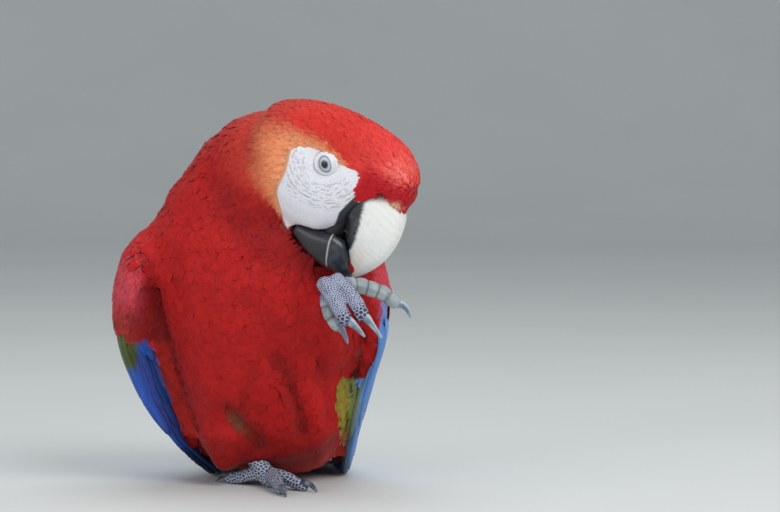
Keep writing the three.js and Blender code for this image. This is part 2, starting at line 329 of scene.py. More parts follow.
def drop(piece: bpy.types.Object) -> None:
    """Removes a helper object and its mesh."""
    mesh = piece.data
    bpy.data.objects.remove(piece)
    bpy.data.meshes.remove(mesh)


def joined_nodes(names: Sequence[str], grow: float = 0.0) -> bmesh.types.BMesh:
    """CAD solids as one bmesh with their loose triangles merged, grown outwards by mm."""
    bm = bmesh.new()
    for name in names:
        bm.from_mesh(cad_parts[name].data)
    bmesh.ops.remove_doubles(bm, verts=bm.verts, dist=1e-6)
    bm.normal_update()
    for vert, way in [(v, v.normal.copy()) for v in bm.verts]:
        vert.co += way * grow * MM
    return bm


def smoothed(bm: bmesh.types.BMesh, verts: Sequence, rounds: int, factor: float = 0.5) -> None:
    """Draws vertices towards their neighbours, some rounds over."""
    for _ in range(rounds):
        bmesh.ops.smooth_vert(
            bm, verts=verts, factor=factor, use_axis_x=True, use_axis_y=True, use_axis_z=True
        )


def remeshed(piece: bpy.types.Object, voxel: float, rounds: int) -> bpy.types.Object:
    """One closed surface round everything in a piece.

    Args:
        piece: closed shells that may run into each other.
        voxel: the size of the new faces in mm.
        rounds: how many times the surface is smoothed.

    Returns:
        The same object with its new mesh.
    """
    remesh = piece.modifiers.new("one surface", "REMESH")
    remesh.mode = "VOXEL"
    remesh.voxel_size = voxel * MM
    applied(piece)
    bm = bmesh.new()
    bm.from_mesh(piece.data)
    smoothed(bm, bm.verts, rounds)
    bm.to_mesh(piece.data)
    bm.free()
    piece.data.shade_smooth()
    return piece


def mesh_points(mesh: bpy.types.Mesh) -> Array:
    """Vertex positions in mm."""
    co = np.empty(len(mesh.vertices) * 3)
    mesh.vertices.foreach_get("co", co)
    return co.reshape(-1, 3) / MM


def mesh_normals(mesh: bpy.types.Mesh) -> Array:
    """Vertex normals."""
    n = np.empty(len(mesh.vertices) * 3)
    mesh.vertices.foreach_get("normal", n)
    return n.reshape(-1, 3)


def move_points(mesh: bpy.types.Mesh, points: Array) -> None:
    """Sets vertex positions given in mm."""
    mesh.vertices.foreach_set("co", (points * MM).ravel())
    mesh.update()


def paint(mesh: bpy.types.Mesh, colours: Array, name: str = "marks") -> None:
    """Writes one colour for each vertex."""
    layer = mesh.color_attributes.new(name, "FLOAT_COLOR", "POINT")
    rgba = np.ones((len(colours), 4), np.float32)
    rgba[:, :3] = np.clip(colours, 0, 1)
    layer.data.foreach_set("color", rgba.ravel())


class Shell:
    """A closed guide surface that can be asked for its nearest point and for what is inside it, in mm."""

    def __init__(self, bm: bmesh.types.BMesh) -> None:
        """Takes over a bmesh in metres."""
        self.tree = BVHTree.FromBMesh(bm)
        bm.free()

    @classmethod
    def of_piece(cls, piece: bpy.types.Object) -> "Shell":
        """The shell of an object's mesh."""
        bm = bmesh.new()
        bm.from_mesh(piece.data)
        return cls(bm)

    def nearest(self, points: Array) -> tuple[Array, Array]:
        """The nearest points on the surface and the outward directions there."""
        spots, ways = np.empty_like(points), np.empty_like(points)
        for k, p in enumerate(points):
            spot, way, _, _ = self.tree.find_nearest(Vector(p) * MM)
            spots[k], ways[k] = spot, way
        return spots / MM, ways

    def height(self, points: Array) -> Array:
        """How far points lie outside the surface, less than 0 inside it."""
        spots, ways = self.nearest(points)
        gap = points - spots
        return np.linalg.norm(gap, axis=1) * np.where((gap * ways).sum(1) < 0, -1, 1)


# ---------- finishes ----------
class Graph:
    """A material's nodes, added and joined by short calls."""

    def __init__(self, name: str) -> None:
        """Starts a material with a Principled shader in it."""
        self.material = bpy.data.materials.new(name)
        self.material.use_nodes = True
        self.tree = self.material.node_tree
        self.shader = self.tree.nodes["Principled BSDF"]

    def add(self, kind: str, inputs: dict | None = None, **settings) -> bpy.types.Node:
        """Adds a node.

        Args:
            kind: its type without the ShaderNode before it.
            inputs: numbers or the outputs joined to it, by socket name or place.
            settings: its own properties.

        Returns:
            The node.
        """
        made = self.tree.nodes.new(f"ShaderNode{kind}")
        for key, value in settings.items():
            setattr(made, key, value)
        for key, value in (inputs or {}).items():
            self.put(made.inputs[key], value)
        return made

    def put(self, socket: bpy.types.NodeSocket, value: object) -> None:
        """Gives a socket a number, a colour or another node's output."""
        if isinstance(value, bpy.types.NodeSocket):
            self.tree.links.new(value, socket)
        else:
            socket.default_value = value

    def maths(self, operation: str, *values: object) -> bpy.types.NodeSocket:
        """The result of one sum."""
        return self.add("Math", dict(enumerate(values)), operation=operation).outputs[0]

    def shade(self, colour: object, factor: object) -> bpy.types.NodeSocket:
        """A colour made lighter or darker by a factor."""
        mixed = self.add("Mix", data_type="RGBA", blend_type="MULTIPLY")
        self.put(mixed.inputs["Factor"], 1.0)
        self.put(mixed.inputs[6], colour)
        self.put(mixed.inputs[7], factor)
        return mixed.outputs[2]

    def attribute(self, name: str) -> bpy.types.Node:
        """A named attribute of the mesh."""
        return self.add("Attribute", attribute_name=name)

    def speckle(self, scale: float, low: float, high: float, detail: float = 3.0) -> bpy.types.NodeSocket:
        """Noise over the piece, between two numbers."""
        where = self.add("TexCoord").outputs["Object"]
        grain = self.add("TexNoise", {"Vector": where, "Scale": scale, "Detail": detail})
        return self.add("MapRange", {0: grain.outputs[0], 1: 0.3, 2: 0.7, 3: low, 4: high}).outputs[0]

    def relief(self, height: object, strength: float, distance: float) -> None:
        """Bump on the shader from a height, its depth in mm."""
        bump = self.add("Bump", {"Height": height, "Strength": strength, "Distance": distance * MM})
        self.put(self.shader.inputs["Normal"], bump.outputs[0])

    def finish(self, **numbers: object) -> bpy.types.Material:
        """Sets the shader's own sockets, named with _ for a space, and returns the material."""
        for key, value in numbers.items():
            self.put(self.shader.inputs[key.replace("_", " ")], value)
        return self.material


@dataclass(frozen=True)
class PlumeFinish:
    """Feather vanes: their own colours, barbs slanting from the shaft, and a soft sheen."""

    name: str
    barb: float = 1.1  # mm from barb bundle to barb bundle
    strength: float = 0.2
    roughness: float = 0.65
    sheen: float = 0.12
    tint: tuple[float, float, float, float] = (1.0, 0.5, 0.45, 1.0)
    contrast: float = 0.05  # how far the barbs lighten and darken the colour
    shine: float = 0.18

    def material(self) -> bpy.types.Material:
        """Builds the material."""
        g = Graph(self.name)
        vane = g.add("SeparateXYZ", {0: g.attribute("vane").outputs["Vector"]})
        across, along, seed = vane.outputs
        slant = g.maths("MULTIPLY_ADD", g.maths("ABSOLUTE", across), -0.9, along)
        wander = g.speckle(350, 0.0, 1.6)
        phase = g.maths("MULTIPLY", g.maths("ADD", slant, wander), 2 * math.pi / self.barb)
        wave = g.maths("SINE", phase)
        barbs = g.add("MapRange", {0: wave, 1: -1.0, 2: 1.0, 3: 1 - self.contrast, 4: 1 + self.contrast / 2})
        own = g.add("MapRange", {0: seed, 1: 0.0, 2: 1.0, 3: 0.88, 4: 1.08}).outputs[0]
        colour = g.shade(g.attribute("plume").outputs["Color"], barbs.outputs[0])
        colour = g.shade(g.shade(colour, own), g.speckle(900, 0.94, 1.04))
        g.relief(wave, self.strength, 0.08)
        return g.finish(
            Base_Color=colour,
            Roughness=self.roughness,
            Sheen_Weight=self.sheen,
            Sheen_Roughness=0.4,
            Sheen_Tint=self.tint,
            Specular_IOR_Level=self.shine,
        )


@dataclass(frozen=True)
class MarkedFinish:
    """Skin, horn or scales: painted marks with a grain over them."""

    name: str
    roughness: float
    grain: float  # grains in a metre
    depth: float  # mm of relief
    low: float = 0.92
    high: float = 1.05
    soft: float = 0.0  # light scattered under the surface
    coat: float = 0.0

    def material(self) -> bpy.types.Material:
        """Builds the material."""
        g = Graph(self.name)
        colour = g.shade(g.attribute("marks").outputs["Color"], g.speckle(self.grain, self.low, self.high))
        rough = g.speckle(self.grain * 0.6, self.roughness * 0.85, self.roughness * 1.15)
        g.relief(g.speckle(self.grain * 1.7, 0.0, 1.0, 5.0), 0.5, self.depth)
        if self.soft:
            g.finish(Subsurface_Weight=self.soft, Subsurface_Scale=0.002)
        return g.finish(Base_Color=colour, Roughness=rough, Coat_Weight=self.coat, Coat_Roughness=0.12)


@dataclass(frozen=True)
class FloorFinish:
    """The plain pale floor."""

    name: str = "pale floor"

    def material(self) -> bpy.types.Material:
        """Builds the material."""
        g = Graph(self.name)
        colour = g.shade((0.62, 0.64, 0.63, 1.0), g.speckle(3, 0.98, 1.02))
        return g.finish(Base_Color=colour, Roughness=0.75, Specular_IOR_Level=0.2)


# ---------- colours of the plumage ----------
def tone(red: int, green: int, blue: int) -> Array:
    """One colour as the field of a palette."""
    return field(default_factory=lambda: linear(red, green, blue))


@dataclass(frozen=True)
class Palette:
    """The bird's colours as linear light."""

    crown: Array = tone(198, 46, 38)
    forehead: Array = tone(226, 68, 66)
    # painted pinkish sheen on the front of the forehead
    forehead_sheen: Array = tone(250, 152, 140)
    lore: Array = tone(178, 14, 28)
    scarlet: Array = tone(172, 22, 23)
    deep: Array = tone(166, 18, 17)
    # painted shade for the furrows of the coat
    furrow_shade: Array = tone(96, 8, 10)
    orange: Array = tone(240, 152, 104)
    amber: Array = tone(212, 140, 98)
    cream: Array = tone(238, 196, 156)
    bare: Array = tone(222, 221, 227)
    gape: Array = tone(44, 46, 54)
    # painted pinkish sheen on the outer edge of the wing's top
    shoulder_sheen: Array = tone(196, 66, 80)
    russet: Array = tone(150, 46, 42)
    yellow: Array = tone(224, 176, 52)
    green: Array = tone(76, 98, 52)
    olive: Array = tone(156, 136, 50)
    blue: Array = tone(40, 104, 200)
    sky: Array = tone(108, 168, 244)
    night: Array = tone(28, 32, 46)
    tail: Array = tone(176, 28, 24)
    nape: Array = tone(182, 50, 40)
    # painted shade for the crease at the thigh
    thigh_crease_shade: Array = tone(96, 66, 44)
    violet: Array = tone(74, 84, 190)
    leaf: Array = tone(104, 150, 96)


COLOURS = Palette()


class Face:
    """The bare face, white behind and dark at the corner of the mouth, in mm forward and crownward."""

    outline = (
        (-20.5, 1.8), (-13.5, 5.8), (-5.5, 9.2), (4, 11), (14.3, 9), (25, 8.6), (30.6, 6), (32.6, -4),
        (36, -12), (43, -16), (46, -28), (48, -40), (47, -52), (36, -57), (26, -51.5), (17.8, -49.5),
        (9.5, -56), (2, -61.5), (-6, -56.5), (-11, -45.5), (-16.2, -36.5), (-17.3, -27.7), (-17, -16.9),
        (-19, -7.9),
    )  # fmt: skip
    # mm crownward, and how far forward the dark corner of the mouth begins there
    corner = ((-60, -50, -46, -35, -26, -14, -9, 0), (23, 25.5, 26.5, 28.5, 28.3, 31.8, 33.5, 40))
    inmost = 8.0  # half-width within which the head is feathered
    turned = ((-12, 2, 20), (27.0, 30.5, 32.0))  # half-width past which the turned neck begins, by mm forward
    reach = 95.0  # beyond this distance from the head's centre everything is feathered
    glow = (
        (-180, -168, -153, -134, -119, -100, -60, 60, 85, 98, 112, 130, 146, 157, 166, 175, 180),
        (25, 22, 15, 9, 2, 0.3, 0.1, 0.1, 2.5, 4, 6.7, 10, 18, 27, 30, 27, 25),
    )  # how far the glow round the face reaches, in mm, at angles in degrees
    middle = (7.0, -20.0)
    brow = ((33, 39.6, 44.8, 50, 54.2, 61, 67.2, 74), (-12, -8.4, -3, 0.4, -0.6, -3.2, -5.5, -8))

    def __init__(self) -> None:
        """Rounds the outline."""
        closed = [*self.outline[-2:], *self.outline, *self.outline[:2]]
        count = len(closed) - 1
        t = np.linspace(2 / count, (count - 1) / count, 70)
        self.ring = spline(closed, t)[:-1]

    def outside(self, points: Array) -> Array:
        """How far points of the row frame lie outside the bare face, less than 0 on it."""
        local = HEAD.local(points)
        away = np.full(len(points), 60.0)
        close = np.linalg.norm(local, axis=1) < self.reach
        p = local[close, :2]
        a, b = self.ring, np.roll(self.ring, -1, 0)
        ab = b - a
        t = np.clip(((p[:, None] - a) * ab).sum(-1) / (ab * ab).sum(-1), 0, 1)
        far = np.linalg.norm(p[:, None] - (a + t[..., None] * ab), axis=-1).min(1)
        x, y = p[:, :1], p[:, 1:]
        crossed = (a[:, 1] > y) != (b[:, 1] > y)
        rise = np.where(ab[:, 1] == 0, 1e-9, ab[:, 1])
        inside = (crossed & (x < a[:, 0] + (y - a[:, 1]) / rise * ab[:, 0])).sum(1) % 2 == 1
        out = local[close, 2]
        away[close] = np.maximum(np.where(inside, -far, far), self.inmost - np.abs(out))
        neck = -out - np.interp(p[:, 0], *self.turned)
        away[close] = np.maximum(away[close], neck)
        return away

    def dark(self, local: Array) -> Array:
        """How far places of the bare face belong to the dark corner of the mouth, 0 to 1."""
        return ease(local[:, 0] - np.interp(local[:, 1], *self.corner), -0.7, 0.7)

    def wrinkles(self, points: Array) -> tuple[Array, Array]:
        """The folds of the bare skin: how high it stands in mm, and how much painted shade lies in each
        crease and between the rings round the eye, 0 to 1.
        """
        local = HEAD.local(points)
        x, y = local[:, 0] - EYES[0].ahead, local[:, 1] - EYES[0].above
        radius, angle = np.hypot(x, y), np.arctan2(y, x)
        wander = np.array([noise.noise(Vector((p[0] / 9, p[1] / 9, p[2] / 30))) for p in local])
        pitch = 3.1
        turn = (radius + 1.3 * wander) / pitch
        row = np.floor(turn)
        line = np.abs(turn - row - 0.5) * pitch
        run = angle * (row + 0.5) * pitch
        piece = np.array([noise.noise(Vector((r / 3.4, k * 7.7, 1.5))) for r, k in zip(run, row)])
        grain = np.array([noise.noise(Vector((r / 1.3, k * 3.1, 4.5))) for r, k in zip(run, row)])
        rows = ease(radius, 13.5, 18.0) * ease(radius, 37.0, 32.0) * ease(angle, 0.05, -0.35)
        rows *= ease(np.abs(angle + 1.6), 1.65, 1.3)
        crease = bell(line, 0.5) * ease(piece + 0.35 * grain, -0.12, 0.18) * rows
        rings = 0.5 + 0.5 * np.cos(2 * math.pi * (radius + 0.5 * wander) / 1.5)
        round_eye = ease(radius, 8.0, 9.5) * ease(radius, 15.0, 12.0)
        rings = rings * round_eye
        high = -0.3 * crease + 0.1 * rings + 0.12 * rows * (0.5 + grain) + 0.1 * wander
        return high, np.clip(crease + 0.16 * (1 - rings) * round_eye, 0, 1)

    def cere(self, local: Array) -> Array:
        """How far places lie below the feathers over the bill, in mm."""
        elsewhere = (local[:, 0] < 32) | (local[:, 1] < -30)
        return np.interp(local[:, 0], *self.brow) - local[:, 1] - 60 * elsewhere

    def mouth(self, local: Array) -> Array:
        """True for places between the bills."""
        a, b, s = local.T
        return (a > 12) & (a < 62) & (b > -68) & (b < -37) & (np.abs(s) < 24)


FACE = Face()


FURROWS = (
    # lines on the breast and belly as x and z, with their depth and half-width in mm
    (((8, 96), (13, 84), (18.5, 69), (22.5, 55), (24, 40)), 3.6, 5.0),
    (((-30, 58), (-21, 48), (-12, 38), (-6, 30)), 4.0, 4.0),
    (((-12, 88), (-17, 70), (-20, 58)), 1.6, 5.0),
    (((36, 92), (42, 70), (44, 52)), 2.0, 5.0),
    (((-91, 171), (-84, 158), (-81.5, 135), (-76, 115), (-71, 95), (-64, 68), (-56, 41)), 2.6, 3.4),
    (((-46, 161), (-38, 158), (-32, 160)), 1.2, 2.2),
    (((-20, 140), (-6, 128), (4, 118)), 1.2, 7.0),
)


def furrowed(points: Array) -> Array:
    """How deep the coat is furrowed at places of the breast and belly, in mm."""
    deep = np.zeros(len(points))
    front = ease(points[:, 1], 60, 35)
    for line, depth, half in FURROWS:
        path = spline(line, np.linspace(0, 1, 20))
        away = np.linalg.norm(points[:, None, [0, 2]] - path, axis=-1).min(1)
        deep = np.maximum(deep, depth * bell(away, half) * front)
    return deep


def plumage_colour(points: Array, skin: bool = False) -> Array:
    """The colour of skin and feathers on head and body.

    Args:
        points: places in the row frame, in mm.
        skin: whether the bare skin shows.

    Returns:
        One linear colour for each place.
    """
    c = COLOURS
    local = HEAD.local(points)
    ahead, above = local[:, 0], local[:, 1]
    x, y, z = points.T
    patchy = waves(points, 24, 1) * 0.6 + waves(points, 9, 2) * 0.25
    tint = blend(c.scarlet, c.deep, np.clip(ease(z, 165, 60) * 0.5 + 0.45 * patchy + 0.1, 0, 1))
    # painted shade in the furrows of breast and belly
    tint = blend(tint, c.furrow_shade, np.clip(furrowed(points) / 5.5, 0, 0.6))
    front = ease(y, 35, 20)
    down, over = (x + 22.5 - z + 47.7) * 0.7, (x + 22.5 + z - 47.7) * 0.7
    # painted shade: a dark streak in the crease along the thigh
    thigh = bell(down, 11) * bell(over, 3.6) * front
    tint = blend(tint, c.thigh_crease_shade, thigh * 0.85)
    # painted light on the lit flank, and painted shade low on the front of the belly
    flank = bell(x - 40, 16) * bell(z - 66, 18) * front
    tint = tint * (1 + 0.5 * flank - 0.4 * ease(z, 46, 26) * front)[:, None]
    distance = np.linalg.norm(local, axis=1)
    on_head = ease(distance, 92, 62) * ease(above + 22 * ease(ahead, 5, -15), -38, -14)
    # painted shade under the head, below the bill
    tint = tint * (1 - 0.3 * ease(distance, 100, 82) * ease(above, -45, -60))[:, None]
    crown = blend(c.crown, c.forehead, ease(ahead, 5, 45) * np.clip(0.7 + 0.5 * patchy, 0, 1))
    crown = blend(crown, c.lore, ease(above, 20, 8) * ease(ahead, 24, 36) * 0.9)
    crown = blend(crown, c.nape, ease(ahead, -22, -46))
    fleck = waves(points, 3.5, 9)
    # painted sheen: a pinkish highlight on the front of the forehead
    sheen_spot = bell(ahead - 53, 10) * bell(above - 22, 8) * (0.6 + 0.8 * fleck)
    crown = blend(crown, c.forehead_sheen, np.clip(sheen_spot, 0, 1) * 0.55)
    tint = blend(tint, crown, on_head) * (1 + 0.12 * fleck)[:, None]
    away = FACE.outside(points)
    angle = np.degrees(np.arctan2(above - FACE.middle[1], ahead - FACE.middle[0]))
    reach = np.interp(angle, *FACE.glow)
    halo = ease(away + 4.0 * patchy * np.minimum(reach / 20, 1), reach * 1.5, reach * 0.2)
    halo *= ease(reach, 0.3, 2.0)
    tint = blend(tint, blend(c.orange, c.amber, ease(above, -2, 8)), halo * 0.9)
    tint = blend(tint, c.cream, ease(away + 1.5 * patchy, 5.0, 0.0) * halo * 0.55 * ease(above, 4, -8))
    tuft = bell(ahead - 61.5, 3.2) * bell(above + 3.2, 3.2) * ease(distance, 95, 90)
    tint = blend(tint, c.cream, tuft * 0.75 * ease(local[:, 2], 0, 4))
    rump = ease(y, 78, 112) * ease(z, 48, 62) * ease(np.abs(x - 2), 50, 30)
    tint = blend(tint, c.sky, rump * 0.9)
    vent = ease(y, 88, 118) * ease(z, 42, 30)
    tint = blend(tint, c.sky * 0.7, vent * 0.8)
    if not skin:
        return tint
    tint = blend(tint, c.bare, ease(FACE.cere(local), 0.3, 1.5) * on_head * (distance < 92))
    # between the bills: the mouth's dark skin, halved in brightness as painted shade
    tint = blend(tint, c.gape * 0.5, FACE.mouth(local))
    bare = blend(c.bare, c.gape, FACE.dark(local))
    return blend(tint, bare, ease(away, 0.4, -0.4))


# ---------- the lie of the coat ----------
HEAD_SHARES = (1.2, 1.0, 0.76)  # length, width and spacing of the feathers against the rows below
BODY_SHARES = (1.15, 0.95, 0.66)


@dataclass(frozen=True)
class Lie:
    """How the coat lies at one place: the way its feathers point, their size, spacing and depth, in mm."""

    at: tuple[float, float, float]
    way: tuple[float, float, float]
    long: float
    wide: float
    apart: float
    deep: float
    stand: float = 0.0  # how far the tips stand out


def head_lies() -> list[Lie]:
    """The coat on the head, the same on both sides."""
    rows = (
        # ahead, above, out, way ahead, way above, long, wide, apart, deep, stand
        (66, 15, 6, -0.3, 0.9, 5.4, 2.4, 1.25, 2.0, 0.1),
        (67, 8, 6, 0.2, -0.3, 4.0, 2.0, 1.05, 1.8, 0.1),
        (68, 0, 4, 0.65, -0.75, 7.5, 2.7, 1.8, 2.2, 1.4),
        (62, 22, 6, -0.6, 0.7, 6.0, 2.5, 1.7, 2.1, 0.2),
        (57, 27, 6, -1.0, 0.5, 7, 2.7, 1.9, 2.4, 0.3),
        (60, 8, 13, -0.3, -0.95, 7, 2.6, 1.8, 2.0, 0.8),
        (44, 4, 17, -0.55, -0.75, 5.2, 2.1, 1.5, 1.6, 0.1),
        (38, -8, 18, -0.35, -0.9, 4.4, 1.9, 1.35, 1.4, 0.0),
        (42, 20, 16, -1.0, 0.05, 8.5, 2.9, 2.0, 2.3, 0),
        (40, 35, 4, -1.0, 0.2, 9, 3.1, 2.1, 2.5, 0),
        (20, 25, 18, -1.0, 0.0, 8.5, 2.9, 2.0, 2.3, 0),
        (20, 38, 4, -1.0, 0.0, 9.5, 3.3, 2.2, 2.6, 0),
        (5, 17, 21, -1.0, -0.1, 7, 2.6, 1.8, 1.9, 0),
        (-5, 34, 8, -1.0, -0.15, 10, 3.6, 2.4, 2.8, 0.2),
        (-18, 12, 24, -0.9, -0.45, 9, 3.4, 2.2, 2.4, 0.2),
        (-22, -10, 27, -0.75, -0.7, 10, 3.6, 2.4, 2.8, 0.3),
        (-20, -34, 25, -0.6, -0.85, 10.5, 3.8, 2.5, 2.8, 0.3),
        (-10, -52, 16, -0.6, -0.7, 9, 3.4, 2.3, 2.4, 0.2),
        (8, -58, 6, -0.9, -0.3, 8, 3.0, 2.1, 2.2, 0),
        (-30, 28, 10, -0.9, -0.4, 12, 4.4, 2.8, 3.2, 0.6),
        (-44, 8, 16, -0.8, -0.65, 13, 5.0, 3.2, 3.6, 0.6),
    )
    lies = []
    for a, b, s, wa, wb, long, wide, apart, deep, stand in rows:
        for side in (s, -s):
            at, way = HEAD.place((a, b, side)), HEAD.way((wa, wb, 0))
            sizes = np.array([long, wide, apart]) * HEAD_SHARES
            lies.append(Lie(tuple(at), tuple(way), *sizes, deep, stand))
    return lies


def body_lies() -> list[Lie]:
    """The coat on neck, trunk and thighs."""
    rows = (
        # x, y, z, way, long, wide, apart, deep, stand
        (-30, -5, 262, (-0.75, 0.35, -0.6), 15, 6.0, 3.6, 4.0, 3.5),
        (-20, 20, 250, (-0.55, 0.6, -0.65), 17, 7.0, 4.0, 4.4, 1.2),
        (-20, -50, 238, (-0.7, 0.1, -0.75), 14, 5.4, 3.4, 3.8, 0.6),
        (20, 0, 265, (-0.2, 0.75, -0.6), 16, 6.6, 4.0, 4.2, 0.5),
        (45, -25, 230, (0.1, 0.6, -0.8), 15, 6.0, 3.8, 4.2, 0.3),
        (-50, -35, 218, (-0.35, 0.2, -0.95), 18, 7.4, 4.4, 4.6, 0.4),
        (-14, -62, 205, (-0.2, 0.05, -1.0), 17, 7.0, 4.2, 4.4, 0.4),
        (20, -52, 195, (0.1, 0.0, -1.0), 16, 6.6, 4.2, 4.4, 0.3),
        (6, -62, 208, (0.05, 0.0, -1.0), 10, 4.4, 2.3, 3.2, 0.0),
        (30, -60, 200, (0.1, 0.0, -1.0), 10, 4.4, 2.3, 3.2, 0.0),
        (-75, -10, 190, (-0.1, 0.35, -0.95), 20, 9.0, 5.2, 4.8, 0.3),
        (-14, -60, 165, (-0.03, 0.1, -1.0), 21, 9.5, 5.4, 4.8, 0.6),
        (40, -45, 165, (0.05, 0.1, -1.0), 20, 9.0, 5.2, 4.8, 0.5),
        (-60, -35, 150, (0.05, 0.2, -0.95), 22, 10, 5.6, 5.0, 0.6),
        (-10, -48, 115, (0.0, 0.3, -0.95), 24, 12, 6.0, 5.4, 1.4),
        (-45, -25, 90, (0.15, 0.35, -0.92), 24, 12, 6.0, 5.4, 1.4),
        (35, -25, 100, (-0.1, 0.35, -0.92), 24, 12, 6.0, 5.4, 1.4),
        (-2, -10, 55, (0.05, 0.65, -0.75), 24, 12, 6.0, 5.4, 1.8),
        (-30, 20, 40, (0.3, 0.3, -0.9), 20, 10, 5.2, 4.4, 1.2),
        (-24, 8, 26, (0.3, -0.1, -0.95), 14, 7.0, 4.0, 3.2, 0.8),
        (46, -25, 115, (0.05, -0.4, -0.85), 18, 8.0, 4.6, 4.4, 0.5),
        (8, 40, 22, (0.0, 0.98, -0.2), 24, 12, 6.0, 5.0, 1.0),
        (3, 95, 18, (0.0, 1.0, 0.0), 28, 14, 6.6, 4.6, 0.4),
        (3, 140, 20, (0.0, 1.0, -0.1), 28, 14, 6.6, 3.6, 0.2),
        (-60, 45, 200, (0.15, 0.6, -0.8), 24, 12, 6.4, 5.0, 0.3),
        (30, 40, 205, (-0.1, 0.6, -0.8), 24, 12, 6.4, 5.0, 0.3),
        (-14, 55, 190, (0.05, 0.6, -0.8), 26, 13, 6.8, 5.0, 0.3),
        (-5, 90, 140, (0.05, 0.62, -0.78), 28, 14, 7.0, 5.2, 0.3),
        (2, 112, 90, (0.0, 0.7, -0.7), 30, 15, 7.0, 5.0, 0.3),
        (3, 130, 50, (0.0, 0.92, -0.38), 32, 15, 7.0, 4.2, 0.2),
    )
    return [
        Lie((x, y, z), way, *(np.array(sizes) * BODY_SHARES), deep, stand * (1.0 if z > 240 else 0.5))
        for x, y, z, way, *sizes, deep, stand in rows
    ]


class Coat:
    """The lie of the coat between the places where it is set down."""

    def __init__(self, lies: Sequence[Lie], reach: float) -> None:
        """Keeps the places, and how far each is felt, in mm."""
        self.at = np.array([lie.at for lie in lies])
        self.way = unit(np.array([lie.way for lie in lies]))
        self.sizes = np.array([(lie.long, lie.wide, lie.apart, lie.deep, lie.stand) for lie in lies])
        self.reach = reach

    def at_points(self, points: Array) -> tuple[Array, Array]:
        """Directions and the rows (long, wide, apart, deep, stand) at points."""
        away = ((points[:, None] - self.at) ** 2).sum(-1)
        nearest = away.min(1, keepdims=True)
        felt = np.exp(-(away - nearest) / (2 * self.reach**2 * (0.35 + nearest / 900)))
        felt /= felt.sum(1, keepdims=True)
        return unit(felt @ self.way), felt @ self.sizes


# ---------- feathers as solid vanes ----------
def patches(flat: Array, stations: Array, x: Array) -> Array:
    """Each vane's own small patch on the unwrap.

    Args:
        flat: where the roots lie on it.
        stations: places along a vane, 0 to 1.
        x: places across it, -1 to 1.

    Returns:
        The vanes' points on the unwrap, (vanes, along, across, 2).
    """
    u = flat[:, 0, None, None] + PATCH / 2 * x
    v = flat[:, 1, None, None] + PATCH * (stations[:, None] - 0.5)
    return np.stack(np.broadcast_arrays(u, v), -1)


def vane_outline(
    s: Array, base: float, tip: float, swell: float = 0.5, bend: float = 2.4, least: float = 0.01
) -> Array:
    """How wide a feather is along its length.

    Args:
        s: places from root to tip, 0 to 1.
        base: the share of it over which the vane widens.
        tip: the share over which it rounds off.
        swell: how steeply it widens, less for steeper.
        bend: how blunt the tip is.
        least: the square of the width left at the tip.

    Returns:
        The widths, 1 at the widest.
    """
    rounded = 1 - np.maximum((s - 1 + tip) / tip, 0) ** bend
    return np.minimum(s / base, 1) ** swell * np.sqrt(np.maximum(rounded, least))


